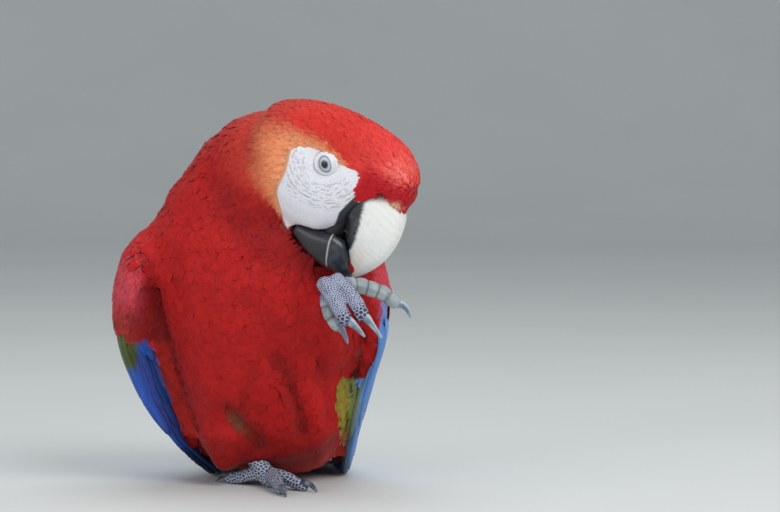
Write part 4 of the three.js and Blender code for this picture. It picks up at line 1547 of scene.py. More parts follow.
@dataclass
class Plumage:
    """The small feathers of the coat, rooted in the skin and laid over it."""

    skin: Skin
    coat: Coat
    guide: bpy.types.Object
    surface: Shell
    seed: int = 7
    across: int = 3  # points across a vane
    packing: float = 0.55  # the share of a spacing's square that one feather takes up
    trials: float = 3.2  # places tried for each feather
    leap: float = 1.5  # a step along a vane's line against its proper length, past which the vane is left out
    lowest: tuple[float, float] = (1.2, 0.9)  # mm over the floor of a vane's upper and lower face
    pieces: list = field(default_factory=list)

    def roots(self, zone: Callable[[Array], Array], keep: Callable[[Array], Array], coat: Coat) -> Array:
        """Places for feathers over the guide, no nearer together than the coat's spacing.

        Args:
            zone: a quick test that rules out most of the guide.
            keep: says which places may carry feathers.
            coat: the lie of the coat there.

        Returns:
            The roots in mm.
        """
        rng = np.random.default_rng(self.seed)
        mesh = self.guide.data
        mesh.calc_loop_triangles()
        corners = np.empty(len(mesh.loop_triangles) * 3, int)
        mesh.loop_triangles.foreach_get("vertices", corners)
        a, b, c = mesh_points(mesh)[corners].reshape(-1, 3, 3).transpose(1, 0, 2)
        inside = zone((a + b + c) / 3)
        a, b, c = a[inside], b[inside], c[inside]
        area = np.linalg.norm(np.cross(b - a, c - a), axis=1) / 2
        apart = coat.at_points((a + b + c) / 3)[1][:, 2]
        many = rng.poisson(area / (self.packing * apart**2) * self.trials)
        pick = np.repeat(np.arange(len(many)), many)
        u, v = rng.random(len(pick)), rng.random(len(pick))
        over = u + v > 1
        u[over], v[over] = 1 - u[over], 1 - v[over]
        spots = a[pick] + (b - a)[pick] * u[:, None] + (c - a)[pick] * v[:, None]
        spots = spots[keep(spots)]
        spots = spots[rng.permutation(len(spots))]
        gaps = coat.at_points(spots)[1][:, 2]
        return spots[thinned(spots, gaps)]

    def lines(
        self, roots: Array, ways: Array, sway: Array, long: Array, stations: Array
    ) -> tuple[Array, Array, Array, Array]:
        """Lays the middle lines of vanes over the guide.

        Args:
            roots: where they begin.
            ways: where they point.
            sway: how far each turns aside from that, in radians.
            long: their lengths in mm.
            stations: places along them, 0 to 1.

        Returns:
            Points, the ways up and sideways, all (vanes, along, 3), and which lines have no leap in them.
        """
        spot, out = self.surface.nearest(roots)
        ways = laid(ways, out)
        ways = unit(ways * np.cos(sway)[:, None] + np.cross(out, ways) * np.sin(sway)[:, None])
        middle, up, beside = (np.empty((len(roots), len(stations), 3)) for _ in range(3))
        for k, station in enumerate(stations):
            if k:
                step = long * (station - stations[k - 1])
                spot, out = self.surface.nearest(spot + ways * step[:, None])
                ways = laid(ways, out)
            middle[:, k], up[:, k], beside[:, k] = spot, out, np.cross(out, ways)
        stride = np.linalg.norm(np.diff(middle, axis=1), axis=-1) / (long[:, None] * np.diff(stations))
        return middle, up, beside, stride.max(1) < self.leap

    def cover(
        self,
        name: str,
        zone: Callable[[Array], Array],
        keep: Callable[[Array], Array],
        colour: Callable[[Array], Array],
        finish: bpy.types.Material,
        slot: str,
        coat: Coat | None = None,
        sections: int = 6,
        sunk: Callable[[Array], Array] | None = None,
        clear: Callable[[Array], Array] | None = None,
        fine: bool = False,
    ) -> None:
        """Covers part of the guide with overlapping vanes.

        Args:
            name: the name of the new piece.
            zone: a quick test that rules out most of the guide.
            keep: says which places carry this piece's feathers.
            colour: gives colours at places.
            finish: the vanes' material.
            slot: not used.
            coat: the lie of the coat, the body's own if none is given.
            sections: cross-sections along a vane.
            sunk: how far below the rest feathers lie at places, in mm.
            clear: says which places a feather may pass through, anywhere if none is given.
            fine: whether the colours change across each feather too.
        """
        coat = coat or self.coat
        rng = np.random.default_rng(self.seed + len(self.pieces) * 11)
        roots = self.roots(zone, keep, coat)
        count = len(roots)
        ways, sizes = coat.at_points(roots)
        long, wide, _, deep, stand = sizes.T
        spread = rng.normal(size=(count, 4))
        loose = np.clip(stand, 0, 2) / 2
        sway = np.radians(3.5 * spread[:, 0] * (1 + loose) + 30 * loose * waves(roots, 17, 4))
        long = long * (1 + 0.13 * np.clip(spread[:, 1], -2, 2))
        wide = wide * (1 + 0.1 * np.clip(spread[:, 2], -2, 2))
        stations = 1 - (1 - np.linspace(0, 1, sections)) ** 1.6
        middle, up, beside, whole = self.lines(roots, ways, sway, long, stations)
        rise = -deep[:, None] * (1 - stations) ** 2.0
        if sunk:
            middle -= up * sunk(roots)[:, None, None]
        if clear:
            whole &= clear(middle.reshape(-1, 3)).reshape(count, sections).all(1)
        uneven = 0.3 + 0.4 * waves(roots, 15, 6)
        lift = 0.15 * (1 + np.clip(spread[:, 3:4], -1, 2)) + (stand * uneven)[:, None]
        middle += up * (rise + lift * stations**2)[..., None]
        outline = vane_outline(stations, 0.42, 0.55, swell=0.6, least=0)
        half = wide[:, None] / 2 * np.maximum(outline, 0.5)
        half = half * (1 + 0.06 * rng.normal(size=half.shape) * (stations > 0.5))
        across = self.across
        x = np.linspace(-1, 1, across)
        camber = -0.09 * wide[:, None, None] * (x * x) * np.minimum(stations * 2, 1)[None, :, None]
        offset = half[..., None] * x
        top = middle[:, :, None] + beside[:, :, None] * offset[..., None] + up[:, :, None] * camber[..., None]
        top[..., 2] = np.maximum(top[..., 2], self.lowest[0])
        thin = (0.08 + 0.1 * (1 - np.abs(x))) * np.minimum(wide, 8)[:, None, None] / 5
        bottom = top - up[:, :, None] * (thin * np.ones((count, sections, across)))[..., None]
        bottom[..., 2] = np.maximum(bottom[..., 2], self.lowest[1])
        near = (top if fine else middle[:, :, None]) + up[:, :, None] * 0.4
        near = near + 0.9 * rng.normal(size=(count, 1, 1, 3))
        shade = colour(near.reshape(-1, 3)).reshape(near.shape)
        # painted shade near the roots, under the feathers that overlap them
        root_shade = 0.9 + 0.1 * ease(stations, 0.1, 0.8)
        tints = np.broadcast_to(shade * root_shade[:, None, None], top.shape)
        along = np.broadcast_to((stations * long[:, None])[..., None], offset.shape)
        number = np.broadcast_to(rng.random(count)[:, None, None], offset.shape)
        vane = np.stack([offset, along, number], -1)
        uv = patches(self.skin.places(roots), stations, x)
        lean = np.repeat(up[:, :, None], across, 2)
        vanes = Vanes()
        vanes.add(*(v[whole] for v in (top, bottom, tints, vane, np.clip(uv, 0, 1), lean)))
        piece = vanes.piece(name, soften=0.85)
        dress(piece, finish, slot)
        self.pieces.append(piece)


def dress(piece: bpy.types.Object, material: bpy.types.Material, slot: str, *replaced: str) -> None:
    """Gives a finished piece its material and body, hides the nodes it stands for, and logs it."""
    piece.data.materials.clear()
    piece.data.materials.append(material)
    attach(piece, "root")
    if replaced:
        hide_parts(*replaced)
    piece.data.calc_loop_triangles()
    log.info("%s: %d triangles", piece.name, len(piece.data.loop_triangles))


def long_vanes(
    vanes: Vanes, top: Array, away: Array, thick: float, colour: Array, width: Array, length: Array
) -> None:
    """Adds long stiff feathers.

    Args:
        vanes: where they are gathered.
        top: their upper faces, (feathers, along, across, 3) in mm.
        away: a way that leads out from the upper face, of a shape that fits top.
        thick: the shaft's thickness in mm.
        colour: linear colours of all points.
        width: each feather's half-width at each point across, in mm.
        length: mm along at each section.
    """
    count, along, across = top.shape[:3]
    x = np.linspace(-1, 1, across)
    up = unit(np.cross(np.gradient(top, axis=2), np.gradient(top, axis=1)))
    up *= np.where((up * away).sum(-1, keepdims=True) < 0, -1, 1)
    thin = 0.22 + (thick - 0.22) * bell(x, 0.13)
    bottom = top - up * thin[None, None, :, None]
    vane = np.empty((*top.shape[:3], 3))
    vane[..., 0] = width
    vane[..., 1] = length[..., None]
    vane[..., 2] = (np.arange(count) * 0.618 % 1)[:, None, None]
    u = (np.arange(count)[:, None, None] + 0.1 + 0.8 * (x + 1) / 2) / count
    v = LONG_STRIP + 0.04 * np.linspace(0, 1, along)[None, :, None]
    uv = np.stack([np.broadcast_to(u, top.shape[:3]), np.broadcast_to(v, top.shape[:3])], -1)
    vanes.add(top, bottom, colour, vane, uv)


class FlightFeathers:
    """Tertials, secondaries and primaries of one wing, with the rows of coverts over their roots."""

    quills = 22
    primaries = 10
    half_width = 15.0
    along, along_covert = 30, 12  # sections in a feather
    covert_rows = (
        # y of roots and tips, how many, half a width, lift of the tips, and how low across the wing they go
        (60, 124, 18, 11, 1.2, -0.82),
        (40, 92, 20, 9.5, 1.9, -0.82),
        (22, 66, 22, 8.5, 2.5, -0.5),
        (6, 44, 23, 7.5, 3.0, -0.5),
    )
    tiers = {
        # where the tiers round the lower edge start past their top line, where they end, and their lift
        Side.RIGHT: ((0.24, 0.64, 0.6), (0.10, 0.50, 1.1), (0.0, 0.34, 1.6)),
        Side.LEFT: ((0.22, 0.64, 0.6), (0.09, 0.50, 1.1), (-0.03, 0.36, 1.6)),
    }
    lowest = 1.4  # mm over the floor
    rim_from, rim_to, rim_apart = -22.5, 62.0, 4.5  # how far round from the seam the feathers lie, in mm

    def __init__(self, wing: Wing) -> None:
        """Takes the wing that they fold on."""
        self.wing = wing

    def row(
        self, vanes: Vanes, w: Array, start: Array, end: Array, half: float, layer: Array, colour: Callable
    ) -> None:
        """Adds one row of feathers on the sheet.

        Args:
            vanes: where they are gathered.
            w: each feather's place across the wing.
            start: the y of each root.
            end: the y of each tip.
            half: half a feather's width in mm.
            layer: mm out from the sheet's middle, (feathers, along).
            colour: gives colours from points and places along the feather.
        """
        (count, along), across = layer.shape, 7
        s = np.linspace(0, 1, along)
        x = np.linspace(-1, 1, across)
        t = self.wing.run(start, end, w, s)
        wide = self.wing.span(self.wing.sheet.wide, t)
        reach = np.minimum(half, wide * 0.97) * vane_outline(s, 0.18, 0.2, bend=2.2)
        centre = w[:, None] * np.maximum(wide - reach, 0) / wide
        place = centre[..., None] + (reach / wide)[..., None] * x
        camber = -0.7 * (x * x)[None, None] * np.minimum(reach / 12, 1)[..., None]
        out = layer[..., None] + camber
        flat_t = np.repeat(t[..., None], across, 2).ravel()
        top = self.wing.point(flat_t, place.ravel(), out.ravel()).reshape(count, along, across, 3)
        away = (self.wing.sheet.frames(flat_t)[3] * self.wing.outward).reshape(top.shape)
        self.gather(vanes, top, away, colour, reach[..., None] * x, s)

    def piece(self) -> bpy.types.Object:
        """All the long feathers of the wing as one piece."""
        vanes = Vanes()
        wing, c = self.wing, COLOURS
        k = np.arange(self.quills)
        inner = self.quills - self.primaries
        w = np.linspace(0.8, -0.95, self.quills)
        start = np.interp(k, [0, inner, self.quills - 1], [60.0, 52.0, 30.0])
        at = [0, 4, inner - 1, inner, self.quills - 3, self.quills - 1]
        end = np.interp(k, at, [168, 205, 236, 250, 341, 336])
        high = wing.span(wing.sheet.high, wing.run(start, end, w, np.linspace(0, 1, self.along)))
        room = np.sqrt(np.clip(1 - (w * 0.8) ** 2, 0.1, 1))[:, None]
        layer = np.linspace(0.62, -0.62, self.quills)[:, None] * high * room

        def blade(points: Array, s_at: Array) -> Array:
            """Deep blue with a paler shaft side and dark tips."""
            patchy = waves(points[::7], 30, 8).repeat(7)[: len(points)]
            tint = blend(c.blue, c.blue * 0.55, ease(s_at, 0.55, 1.0) * 0.9)
            tint = blend(tint, c.sky * 0.7, 0.14 + 0.1 * patchy)
            return blend(tint, c.night, ease(s_at + 0.06 * patchy, 0.9, 1.0) * 0.85)

        self.row(vanes, w, start, end, self.half_width, layer, blade)

        def covert(points: Array, s_at: Array) -> Array:
            """The wing's own bands of colour, with painted shade at the roots under the feathers that overlap
            them.
            """
            outer_face = np.full(len(points), 9.0)
            tint = wing.colour(points, wing.coordinates(points)[0], outer_face)
            return tint * (0.8 + 0.25 * ease(s_at, 0.3, 0.9))[:, None]

        for first, last, count, half, out, low in self.covert_rows:
            w = np.linspace(0.9, low, count)
            shift = 24 * ease(w, 0.9, -0.9)
            start, end = first - shift, last - shift + 2.5 * np.sin(np.arange(count) * 2.6)
            s = np.linspace(0, 1, self.along_covert)
            room = np.sqrt(np.clip(1 - w**2, 0.05, 1))[:, None]
            high = wing.span(wing.sheet.high, wing.run(start, end, w, s))
            layer = high * room - 3.2 * (1 - s) + out * 0.35 * s
            self.row(vanes, w, start, end, half, layer, covert)
        for tier_start, tier_end, lift in self.tiers[wing.side]:
            self.rim_row(vanes, tier_start, tier_end, lift)
        return vanes.piece(f"flight_feathers_{wing.side.word}")

    def gather(self, vanes: Vanes, top: Array, away: Array, colour: Callable, width: Array, s: Array) -> None:
        """Adds laid-out feathers, held clear of the floor."""
        count, _, across = top.shape[:3]
        top[..., 2] = np.maximum(top[..., 2], self.lowest)
        step = np.linalg.norm(np.diff(top[:, :, across // 2], axis=1), axis=-1)
        length = np.concatenate([np.zeros((count, 1)), np.cumsum(step, 1)], 1)
        colours = colour(top.reshape(-1, 3), np.repeat(np.tile(s, count), across)).reshape(top.shape)
        long_vanes(vanes, top, away, 0.9, colours, width, length)

    def rim_row(self, vanes: Vanes, start: float, end: float, lift: float) -> None:
        """Adds one tier of long feathers side by side round the lower edge."""
        wing = self.wing
        past = np.arange(self.rim_from, self.rim_to, self.rim_apart)
        count, along, across = len(past), 24, 5
        s, x = np.linspace(0, 1, along), np.linspace(-1, 1, across)
        at_top = past + float(wing.seam(np.array([0.22]))[0])
        keep = (past > -18) & (at_top < 24 + 20 * (start > 0.05))
        past, at_top = past[keep], at_top[keep]
        count = len(past)
        lag = 0.012 * np.sin(np.arange(count) * 2.4)
        t0 = np.maximum(self.top_line(at_top) + start + lag, 0.02)
        t = t0[:, None] + (end + 2 * lag - t0)[:, None] * s
        centre = past[:, None] + wing.seam(t)
        reach = np.where(past < 0, 3.0, 4.8)[:, None] * vane_outline(s, 0.12, 0.25)
        place = centre[..., None] + reach[..., None] * x
        dip = 5.5 * (1 - s) ** 3
        order = 0.25 * np.cos(past * 0.7) + np.where(past < 0, -0.5, 0.0)
        rise = lift - dip[None, :, None] - 0.5 * x * x + order[:, None, None]
        flat_t = np.repeat(t[..., None], across, 2).ravel()
        top, outer = (
            wing.rim(flat_t, place.ravel(), np.broadcast_to(rise + more, place.shape).ravel()).reshape(
                count, along, across, 3
            )
            for more in (0.0, 1.0)
        )
        width = reach[..., None] * x
        own = np.repeat(past, along * across)

        def tint(points: Array, s_at: Array) -> Array:
            """The wing's colours, a little different on each feather, with darker edges and tips."""
            shade = 0.88 + 0.2 * np.sin(own * 2.1) ** 2
            shade = shade * (1 - 0.3 * np.tile(np.abs(x) ** 3, count * along))
            return wing.rim_colour(points, own) * (shade * (1 - 0.3 * ease(s_at, 0.86, 1.0)))[:, None]

        self.gather(vanes, top, outer - top, tint, width, s)

    def top_line(self, u: Array) -> Array:
        """Where along the wing the long feathers come out from under the small ones."""
        top = np.interp(u, [-46, -32, -2, 4, 16, 24], [0.225, 0.19, 0.12, 0.12, 0.15, 0.18])
        if self.wing.side is Side.LEFT:
            top = top + np.where(u > 3.0, 0.0, 0.075)
        return top


class Tail:
    """Twelve graduated tail feathers laid on the floor."""

    root = (3.0, 118.0, 34.0)
    touch, end, drift, step, half_width, pairs = 185.0, 548.0, 14.0, 42.0, 13.0, 6

    def reach(self, pair: int) -> float:
        """The y of a pair's tips."""
        return self.end - pair * self.step - (12 if pair > 0 else 0)

    def centre(self, pair: int, handed: int, y: Array) -> tuple[Array, Array]:
        """The middle line of a feather and its half-width.

        Args:
            pair: 0 in the middle to 5 outside.
            handed: 1 or -1.
            y: places along the tail.

        Returns:
            Points in mm, and half-widths in mm.
        """
        x0, y0, z0 = self.root
        reach = self.reach(pair)
        spread = handed * (3 + pair * 4.2)
        layer = (self.pairs - 1 - pair) * 0.75
        at = [y0, (y0 + self.touch) / 2, self.touch, (self.touch + reach) / 2, reach - 22, reach]
        fan = [0.35, 0.7, 1, 1.15, 1.1, 1.05]
        high = [z0 - pair * 0.8, z0 / 2 + layer, 2.4 + layer, 1.1 + layer * 0.8, 1 + layer * 0.25, 0.9]
        wide = [7, 10, self.half_width, self.half_width, 9.5 - pair * 0.3, 3.0]
        t = np.interp(y, at, np.linspace(0, 1, 6))
        line = spline(list(zip(fan, high, wide)), t)
        x = x0 + self.drift * (y - y0) / (self.end - y0) + spread * line[:, 0]
        return np.stack([x, y, line[:, 1]], 1), line[:, 2]

    def piece(self) -> bpy.types.Object:
        """The tail feathers as one piece."""
        vanes = Vanes()
        c = COLOURS
        along, across = 46, 9
        x = np.linspace(-1, 1, across)
        for pair in range(self.pairs):
            for handed in (1, -1):
                reach = self.reach(pair)
                y = np.linspace(self.root[1] - 14, reach + 1.2, along)
                line, half = self.centre(pair, handed, np.clip(y, self.root[1], reach))
                line[:, 1] = y
                s = np.linspace(0, 1, along)
                half = half * np.sqrt(np.maximum(1 - np.maximum((s - 0.93) / 0.07, 0) ** 2, 0.02))
                top = np.repeat(line[:, None], across, 1)
                top[..., 0] += half[:, None] * x
                top[..., 2] += 0.55 - 0.55 * (x * x) + 0.35 * bell(x, 0.12)
                top[..., 2] = np.maximum(top[..., 2], 0.75)
                s_at = np.repeat(s, across)
                share = 0.12 * pair**1.3 + ease(s_at, 0.86, 1.0) * 0.8
                tint = blend(c.tail, c.blue * 0.9, np.clip(share, 0, 1))
                tint = blend(tint, c.sky * 0.7, ease(s_at, 0.9, 1.0) * 0.4)
                tint = blend(tint, tint * 0.6, bell(np.tile(x, along), 0.1) * 0.6)
                colour = tint.reshape(1, along, across, 3)
                width, length = (half[:, None] * x)[None], (y - y[0])[None]
                long_vanes(vanes, top[None], np.array([0.0, 0.0, 1.0]), 0.8, colour, width, length)
        return vanes.piece("tail_feathers")


# ---------- bill and tongue ----------
def between(stations: Sequence) -> dict:
    """Loft stations from pairs of points on the head's mid-plane.

    Args:
        stations: rows of outer point, inner point and half-width, in mm.

    Returns:
        The fields of a loft.
    """
    outer = HEAD.place([(*s[0], 0) for s in stations])
    inner = HEAD.place([(*s[1], 0) for s in stations])
    right = HEAD.way((0, 0, 1))
    return {
        "at": (outer + inner) / 2,
        "high": np.linalg.norm(outer - inner, axis=1) / 2,
        "wide": [s[2] for s in stations],
        "side": np.repeat(right[None], len(stations), 0),
        "over": unit(outer - inner),
    }


class Bill:
    """The white upper bill with its black rear edge, the black lower bill, and the tongue between them."""

    upper_stations = (
        ((42, 0), (31, -30), 15), ((58, 1), (33, -35), 15.5), ((68.5, -9), (37, -44), 15),
        ((72.5, -26), (41.5, -50), 13.5), ((71, -44), (45.5, -55), 11), ((65.5, -57.5), (48.5, -60.5), 7.5),
        ((58.5, -67), (50.5, -65.5), 4.2), ((53, -71.5), (51, -70), 1.4),
    )  # fmt: skip
    lower_stations = (
        ((6, -51.5), (4, -62), 12), ((20, -48), (16, -68), 14), ((31, -44.5), (30, -71.5), 14.5),
        ((42, -47.5), (42, -72), 12.5), ((49, -57), (51, -71.5), 10), ((53.5, -64), (55, -70), 7),
    )  # fmt: skip
    hollow_stations = (
        ((22, -34), (20, -55), 7.5), ((32, -36), (31, -61), 8), ((40, -42), (40, -62), 6),
    )  # fmt: skip
    throat_stations = (((36, -20), (24, -30), 9), ((35.5, -33), (22, -40), 10), ((34, -46), (20, -50), 9))
    tongue_stations = (
        ((26, -50), (26, -56), 5), ((34, -49.5), (34, -58.5), 6), ((40, -53), (40.5, -61.5), 5.2),
    )  # fmt: skip
    # mm crownward, and how far forward the upper half's black edge and the lower half's ridge are there
    black_edge = ((-60, -52, -48, -40, -28, -13, 0), (41, 44.5, 46.2, 46.6, 44.6, 41.2, 39.5))
    ridge_line = ((-71, -68, -64, -59.3, -55, -50, -45), (37.6, 36.8, 35.2, 33.6, 32.2, 30.8, 30))

    def __init__(self) -> None:
        """Lays out the lofts."""
        self.upper_loft = Loft(**between(self.upper_stations), square=2.3, caps=(3, 0.8))
        self.lower_loft = Loft(**between(self.lower_stations), square=3.0, caps=(3, 1.2))
        self.hollow_loft = Loft(**between(self.hollow_stations), caps=(3, 3))
        self.throat_loft = Loft(**between(self.throat_stations), caps=(2, 2))
        self.tongue_loft = Loft(**between(self.tongue_stations), caps=(3, 4))

    def upper(self) -> bpy.types.Object:
        """The upper bill."""
        piece = settle("bill_top", skin_rings(self.upper_loft.rings(72, 90)))
        points, ways = mesh_points(piece.data), mesh_normals(piece.data)
        a, b, s = HEAD.local(points).T
        flank = ease(np.abs(s), 2.0, 7.0)
        edge = np.interp(b, *self.black_edge)
        ragged = 0.8 * waves(points, 3.5, 11) + 0.4 * waves(points, 1.4, 12)
        black = ease(a - edge + ragged * 0.7, 1.1, -1.1) * ease(b, -57, -52)
        # the black edge band stands a little under the white horn, with a soft step between them
        inset = 0.55 * ease(a - edge, 1.0, -1.0) * flank * ease(b, -57, -50)
        growth = 0.1 * np.sin(b * 0.9 + a * 0.35 + 2 * waves(points, 12, 13)) * flank
        move_points(piece.data, points - ways * (inset + 0.05 * growth)[:, None])
        ivory = blend(linear(232, 232, 228), linear(222, 224, 222), mottled(points, 14, 14))
        ivory = blend(ivory, linear(232, 208, 196), ease(b, -30, -58) * ease(a, 62, 54) * 0.45)
        ivory = blend(ivory, linear(214, 206, 186), ease(b, -12, -2) * 0.5)
        ivory = ivory * (0.985 + 0.03 * np.sin(b * 1.3 + a * 0.5 + 3 * waves(points, 9, 15)))[:, None]
        worn = ease(waves(points, 4, 16) * 0.8, 0.1, 0.55) * 0.7
        horn = blend(linear(40, 42, 52), linear(118, 120, 126), worn)
        paint(piece.data, blend(ivory, horn, black))
        return piece

    def lower(self) -> bpy.types.Object:
        """The lower bill, open over the tongue, with a raised ridge before its side plate and a painted
        highlight along it.
        """
        piece = settle("bill_bottom", skin_rings(self.lower_loft.rings(72, 60)))
        cutters = [
            settle("mouth room", skin_rings(self.hollow_loft.rings(40, 30))),
            settle("bill room", skin_rings(self.upper_loft.rings(40, 50, grow=0.35))),
        ]
        for cutter in cutters:
            cut = piece.modifiers.new("cut", "BOOLEAN")
            cut.operation, cut.object, cut.solver = "DIFFERENCE", cutter, "EXACT"
        applied(piece)
        for cutter in cutters:
            drop(cutter)
        remeshed(piece, 0.62, rounds=3)
        self.keep_largest(piece)
        points, ways = mesh_points(piece.data), mesh_normals(piece.data)
        a, b, s = HEAD.local(points).T
        off = a - np.interp(b, *self.ridge_line)
        flank = ease(np.abs(s), 3, 7)
        ridge = bell(off, 0.5) * flank
        front = ease(off, 0.4, 1.6) * flank
        move_points(piece.data, points + ways * (0.4 * ridge - 0.6 * front)[:, None])
        plate = blend(linear(18, 18, 24), linear(32, 31, 40), mottled(points, 6, 21))
        dark = blend(linear(28, 33, 41), linear(66, 76, 88), ease(waves(points, 5, 22), -0.2, 0.6) * 0.5)
        colour = blend(plate, dark, np.maximum(front, ease(np.abs(s), 7, 3)))
        # painted highlight along the raised ridge
        pale = np.clip(ridge * 1.1, 0, 1) * ease(b, -70, -66) * ease(b, -45, -47)
        paint(piece.data, blend(colour, linear(176, 172, 176), pale))
        return piece

    @staticmethod
    def keep_largest(piece: bpy.types.Object) -> None:
        """Deletes all but the largest connected part of a mesh."""
        bm = bmesh.new()
        bm.from_mesh(piece.data)
        left = set(bm.verts)
        groups = []
        while left:
            seed = left.pop()
            group, edge = {seed}, [seed]
            while edge:
                vert = edge.pop()
                for other in (e.other_vert(vert) for e in vert.link_edges):
                    if other in left:
                        left.discard(other)
                        group.add(other)
                        edge.append(other)
            groups.append(group)
        groups.sort(key=len)
        doomed = [v for group in groups[:-1] for v in group]
        bmesh.ops.delete(bm, geom=doomed, context="VERTS")
        bm.to_mesh(piece.data)
        bm.free()

    def tongue(self) -> bpy.types.Object:
        """The thick dark tongue, and the dark skin behind it that closes the mouth."""
        bm = skin_rings(self.tongue_loft.rings(28, 20))
        throat = settle("throat", skin_rings(self.throat_loft.rings(28, 20)))
        bm.from_mesh(throat.data)
        drop(throat)
        piece = settle("tongue_soft", bm)
        points = mesh_points(piece.data)
        tint = blend(linear(22, 20, 24), linear(38, 34, 38), mottled(points, 3, 23))
        paint(piece.data, tint)
        return piece

    def nostrils(self) -> bpy.types.Object:
        """Dark solids above the bill's rear edge that stand for the shade inside the nostrils."""
        bm = bmesh.new()
        for side in Side:
            made = bmesh.ops.create_uvsphere(bm, u_segments=20, v_segments=12, radius=1.0)["verts"]
            middle = HEAD.place((48.4, 0.0, -side.value * 15.4))
            for vert in made:
                long, high, out = vert.co.x * 3.8, vert.co.y * 1.0, vert.co.z * 1.6
                vert.co = Vector((middle + HEAD.way((long * 0.9, -high + long * 0.3, out))) * MM)
        bmesh.ops.recalc_face_normals(bm, faces=bm.faces)
        piece = settle("nostrils", bm)
        # painted shade of the nostril openings
        paint(piece.data, np.tile(linear(24, 12, 16), (len(piece.data.vertices), 1)))
        return piece


# ---------- feet ----------
class Foot:
    """One scaly foot: tarsus and toes in one skin with raised scales, and its claws."""

    # the middle lines of the raised toes, from root to claw
    lines = {
        1: ((42, -72, 144), (42.5, -73.5, 137), (45, -75, 129.5), (50, -76, 123)),
        2: ((41, -79, 154), (46, -86, 146), (52, -88.5, 136), (56.5, -88, 128)),
        3: ((49, -78, 156), (57, -85, 148.5), (64, -87, 139.5), (68, -87, 131.5)),
        4: ((55, -68, 152), (67, -64, 151), (81, -61, 146.5), (91, -60, 139)),
    }

    def __init__(self, side: Side) -> None:
        """Takes the side whose CAD solids it follows."""
        self.side = side
        self.flesh = [f"tarsus_{side.word}"] + [f"toe_{side.word}_{k}" for k in (1, 2, 3, 4)]
        self.nails = [f"claw_{side.word}_{k}" for k in (1, 2, 3, 4)]

    def skin(self) -> bpy.types.Object:
        """Tarsus and toes with their scales."""
        piece = settle(f"foot_{self.side.word}", joined_nodes(self.flesh, grow=0.25))
        remeshed(piece, 0.5, rounds=14)
        points, ways = mesh_points(piece.data), mesh_normals(piece.data)
        raised = self.side is Side.LEFT
        pale, left = np.zeros(len(points)), np.full(len(points), 99.0)
        run = np.zeros(len(points))
        if raised:
            away, run, _ = self.along(points, (1, 4))
            other, _, left = self.along(points, (2, 3))
            pale = ease(away - other, 1.5, -1.5) * ease(run, 1.0, 6.0)
        pads = np.sin(math.pi * (run + 1.2) / 8.6)
        crease = ease(np.abs(pads), 0.38, 0.05) * pale
        points = points + ways * (0.75 * np.sqrt(np.abs(pads)) * pale - 0.45 * pale - 0.35 * crease)[:, None]
        rng = np.random.default_rng(31 + self.side.value)
        gaps = (1.5 if raised else 2.5) + 0.25 * waves(points, 9, 30) + 1.5 * ease(left, 9, 2)
        order = rng.permutation(len(points))
        stretch = points * (1, 1, 1.35)
        seeds = order[thinned(stretch[order], gaps[order])]
        tree = indexed(stretch[seeds])
        found = [tree.find_n(p, 2) for p in stretch]
        first = np.array([f[0][2] for f in found])
        gap = np.array([f[1][2] - f[0][2] for f in found])
        which = np.array([f[0][1] for f in found])
        groove = ease(gap, 0.55, 0.1) * (1 - 0.75 * pale)
        dome = ease(first, 1.2, 0.2) * (1 - 0.6 * pale)
        points = points + ways * (0.16 * dome - 0.2 * groove)[:, None]
        points[:, 2] = np.maximum(points[:, 2], 0)
        move_points(piece.data, points)
        shade = rng.random(len(seeds))[which]
        if raised:
            dark, joint = linear(46, 48, 74), linear(172, 178, 200)
            rim = ease(gap, 0.85, 0.35)
        else:
            dark, joint = linear(46, 52, 72), linear(176, 186, 204)
            rim = ease(gap, 1.0, 0.4)
        scale = dark * (0.75 + 0.6 * shade[:, None])
        colour = blend(scale, joint, rim)
        horn = blend(linear(122, 130, 136), linear(174, 184, 188), mottled(points, 5, 34))
        # painted shade in the folds between the pads and in the grooves
        horn = blend(horn, linear(96, 106, 100), np.clip(crease + 0.25 * groove, 0, 1) * 0.8)
        paint(piece.data, blend(colour, horn, pale))
        return piece

    def claws(self) -> bpy.types.Object:
        """The four claws as one piece."""
        bm = joined_nodes(self.nails, grow=0.1)
        for _ in range(2):
            bmesh.ops.subdivide_edges(bm, edges=bm.edges, cuts=1, use_grid_fill=True, smooth=0.6)
        smoothed(bm, bm.verts, 4, 0.4)
        piece = settle(f"claws_{self.side.word}", bm)
        points, ways = mesh_points(piece.data), mesh_normals(piece.data)
        if self.side is Side.LEFT:
            tint = blend(linear(100, 116, 138), linear(150, 160, 172), ease(waves(points, 5, 33), -0.2, 0.6))
            # painted highlight on the faces turned up and towards the key light
            tint = blend(tint, linear(196, 206, 214), ease(ways[:, 0] + ways[:, 2], 0.5, 1.1) * 0.8)
        else:
            tint = blend(linear(50, 56, 70), linear(112, 120, 134), ease(waves(points, 5, 33), -0.2, 0.6))
        paint(piece.data, tint)
        return piece

    def along(self, points: Array, toes: Sequence[int]) -> tuple[Array, Array, Array]:
        """How far points are from the raised foot's toes.

        Args:
            points: places in mm.
            toes: which of them.

        Returns:
            The distance, mm along the nearest toe, and mm left to its end.
        """
        best = np.full((3, len(points)), 99.0)
        for toe in toes:
            path = spline(self.lines[toe], np.linspace(0, 1, 40))
            run = np.concatenate([[0], np.cumsum(np.linalg.norm(np.diff(path, axis=0), axis=1))])
            gaps = np.linalg.norm(points[:, None] - path, axis=-1)
            at = gaps.argmin(1)
            away = gaps.min(1)
            best = np.where(away < best[0], np.array([away, run[at], run[-1] - run[at]]), best)
        return best[0], best[1], best[2]


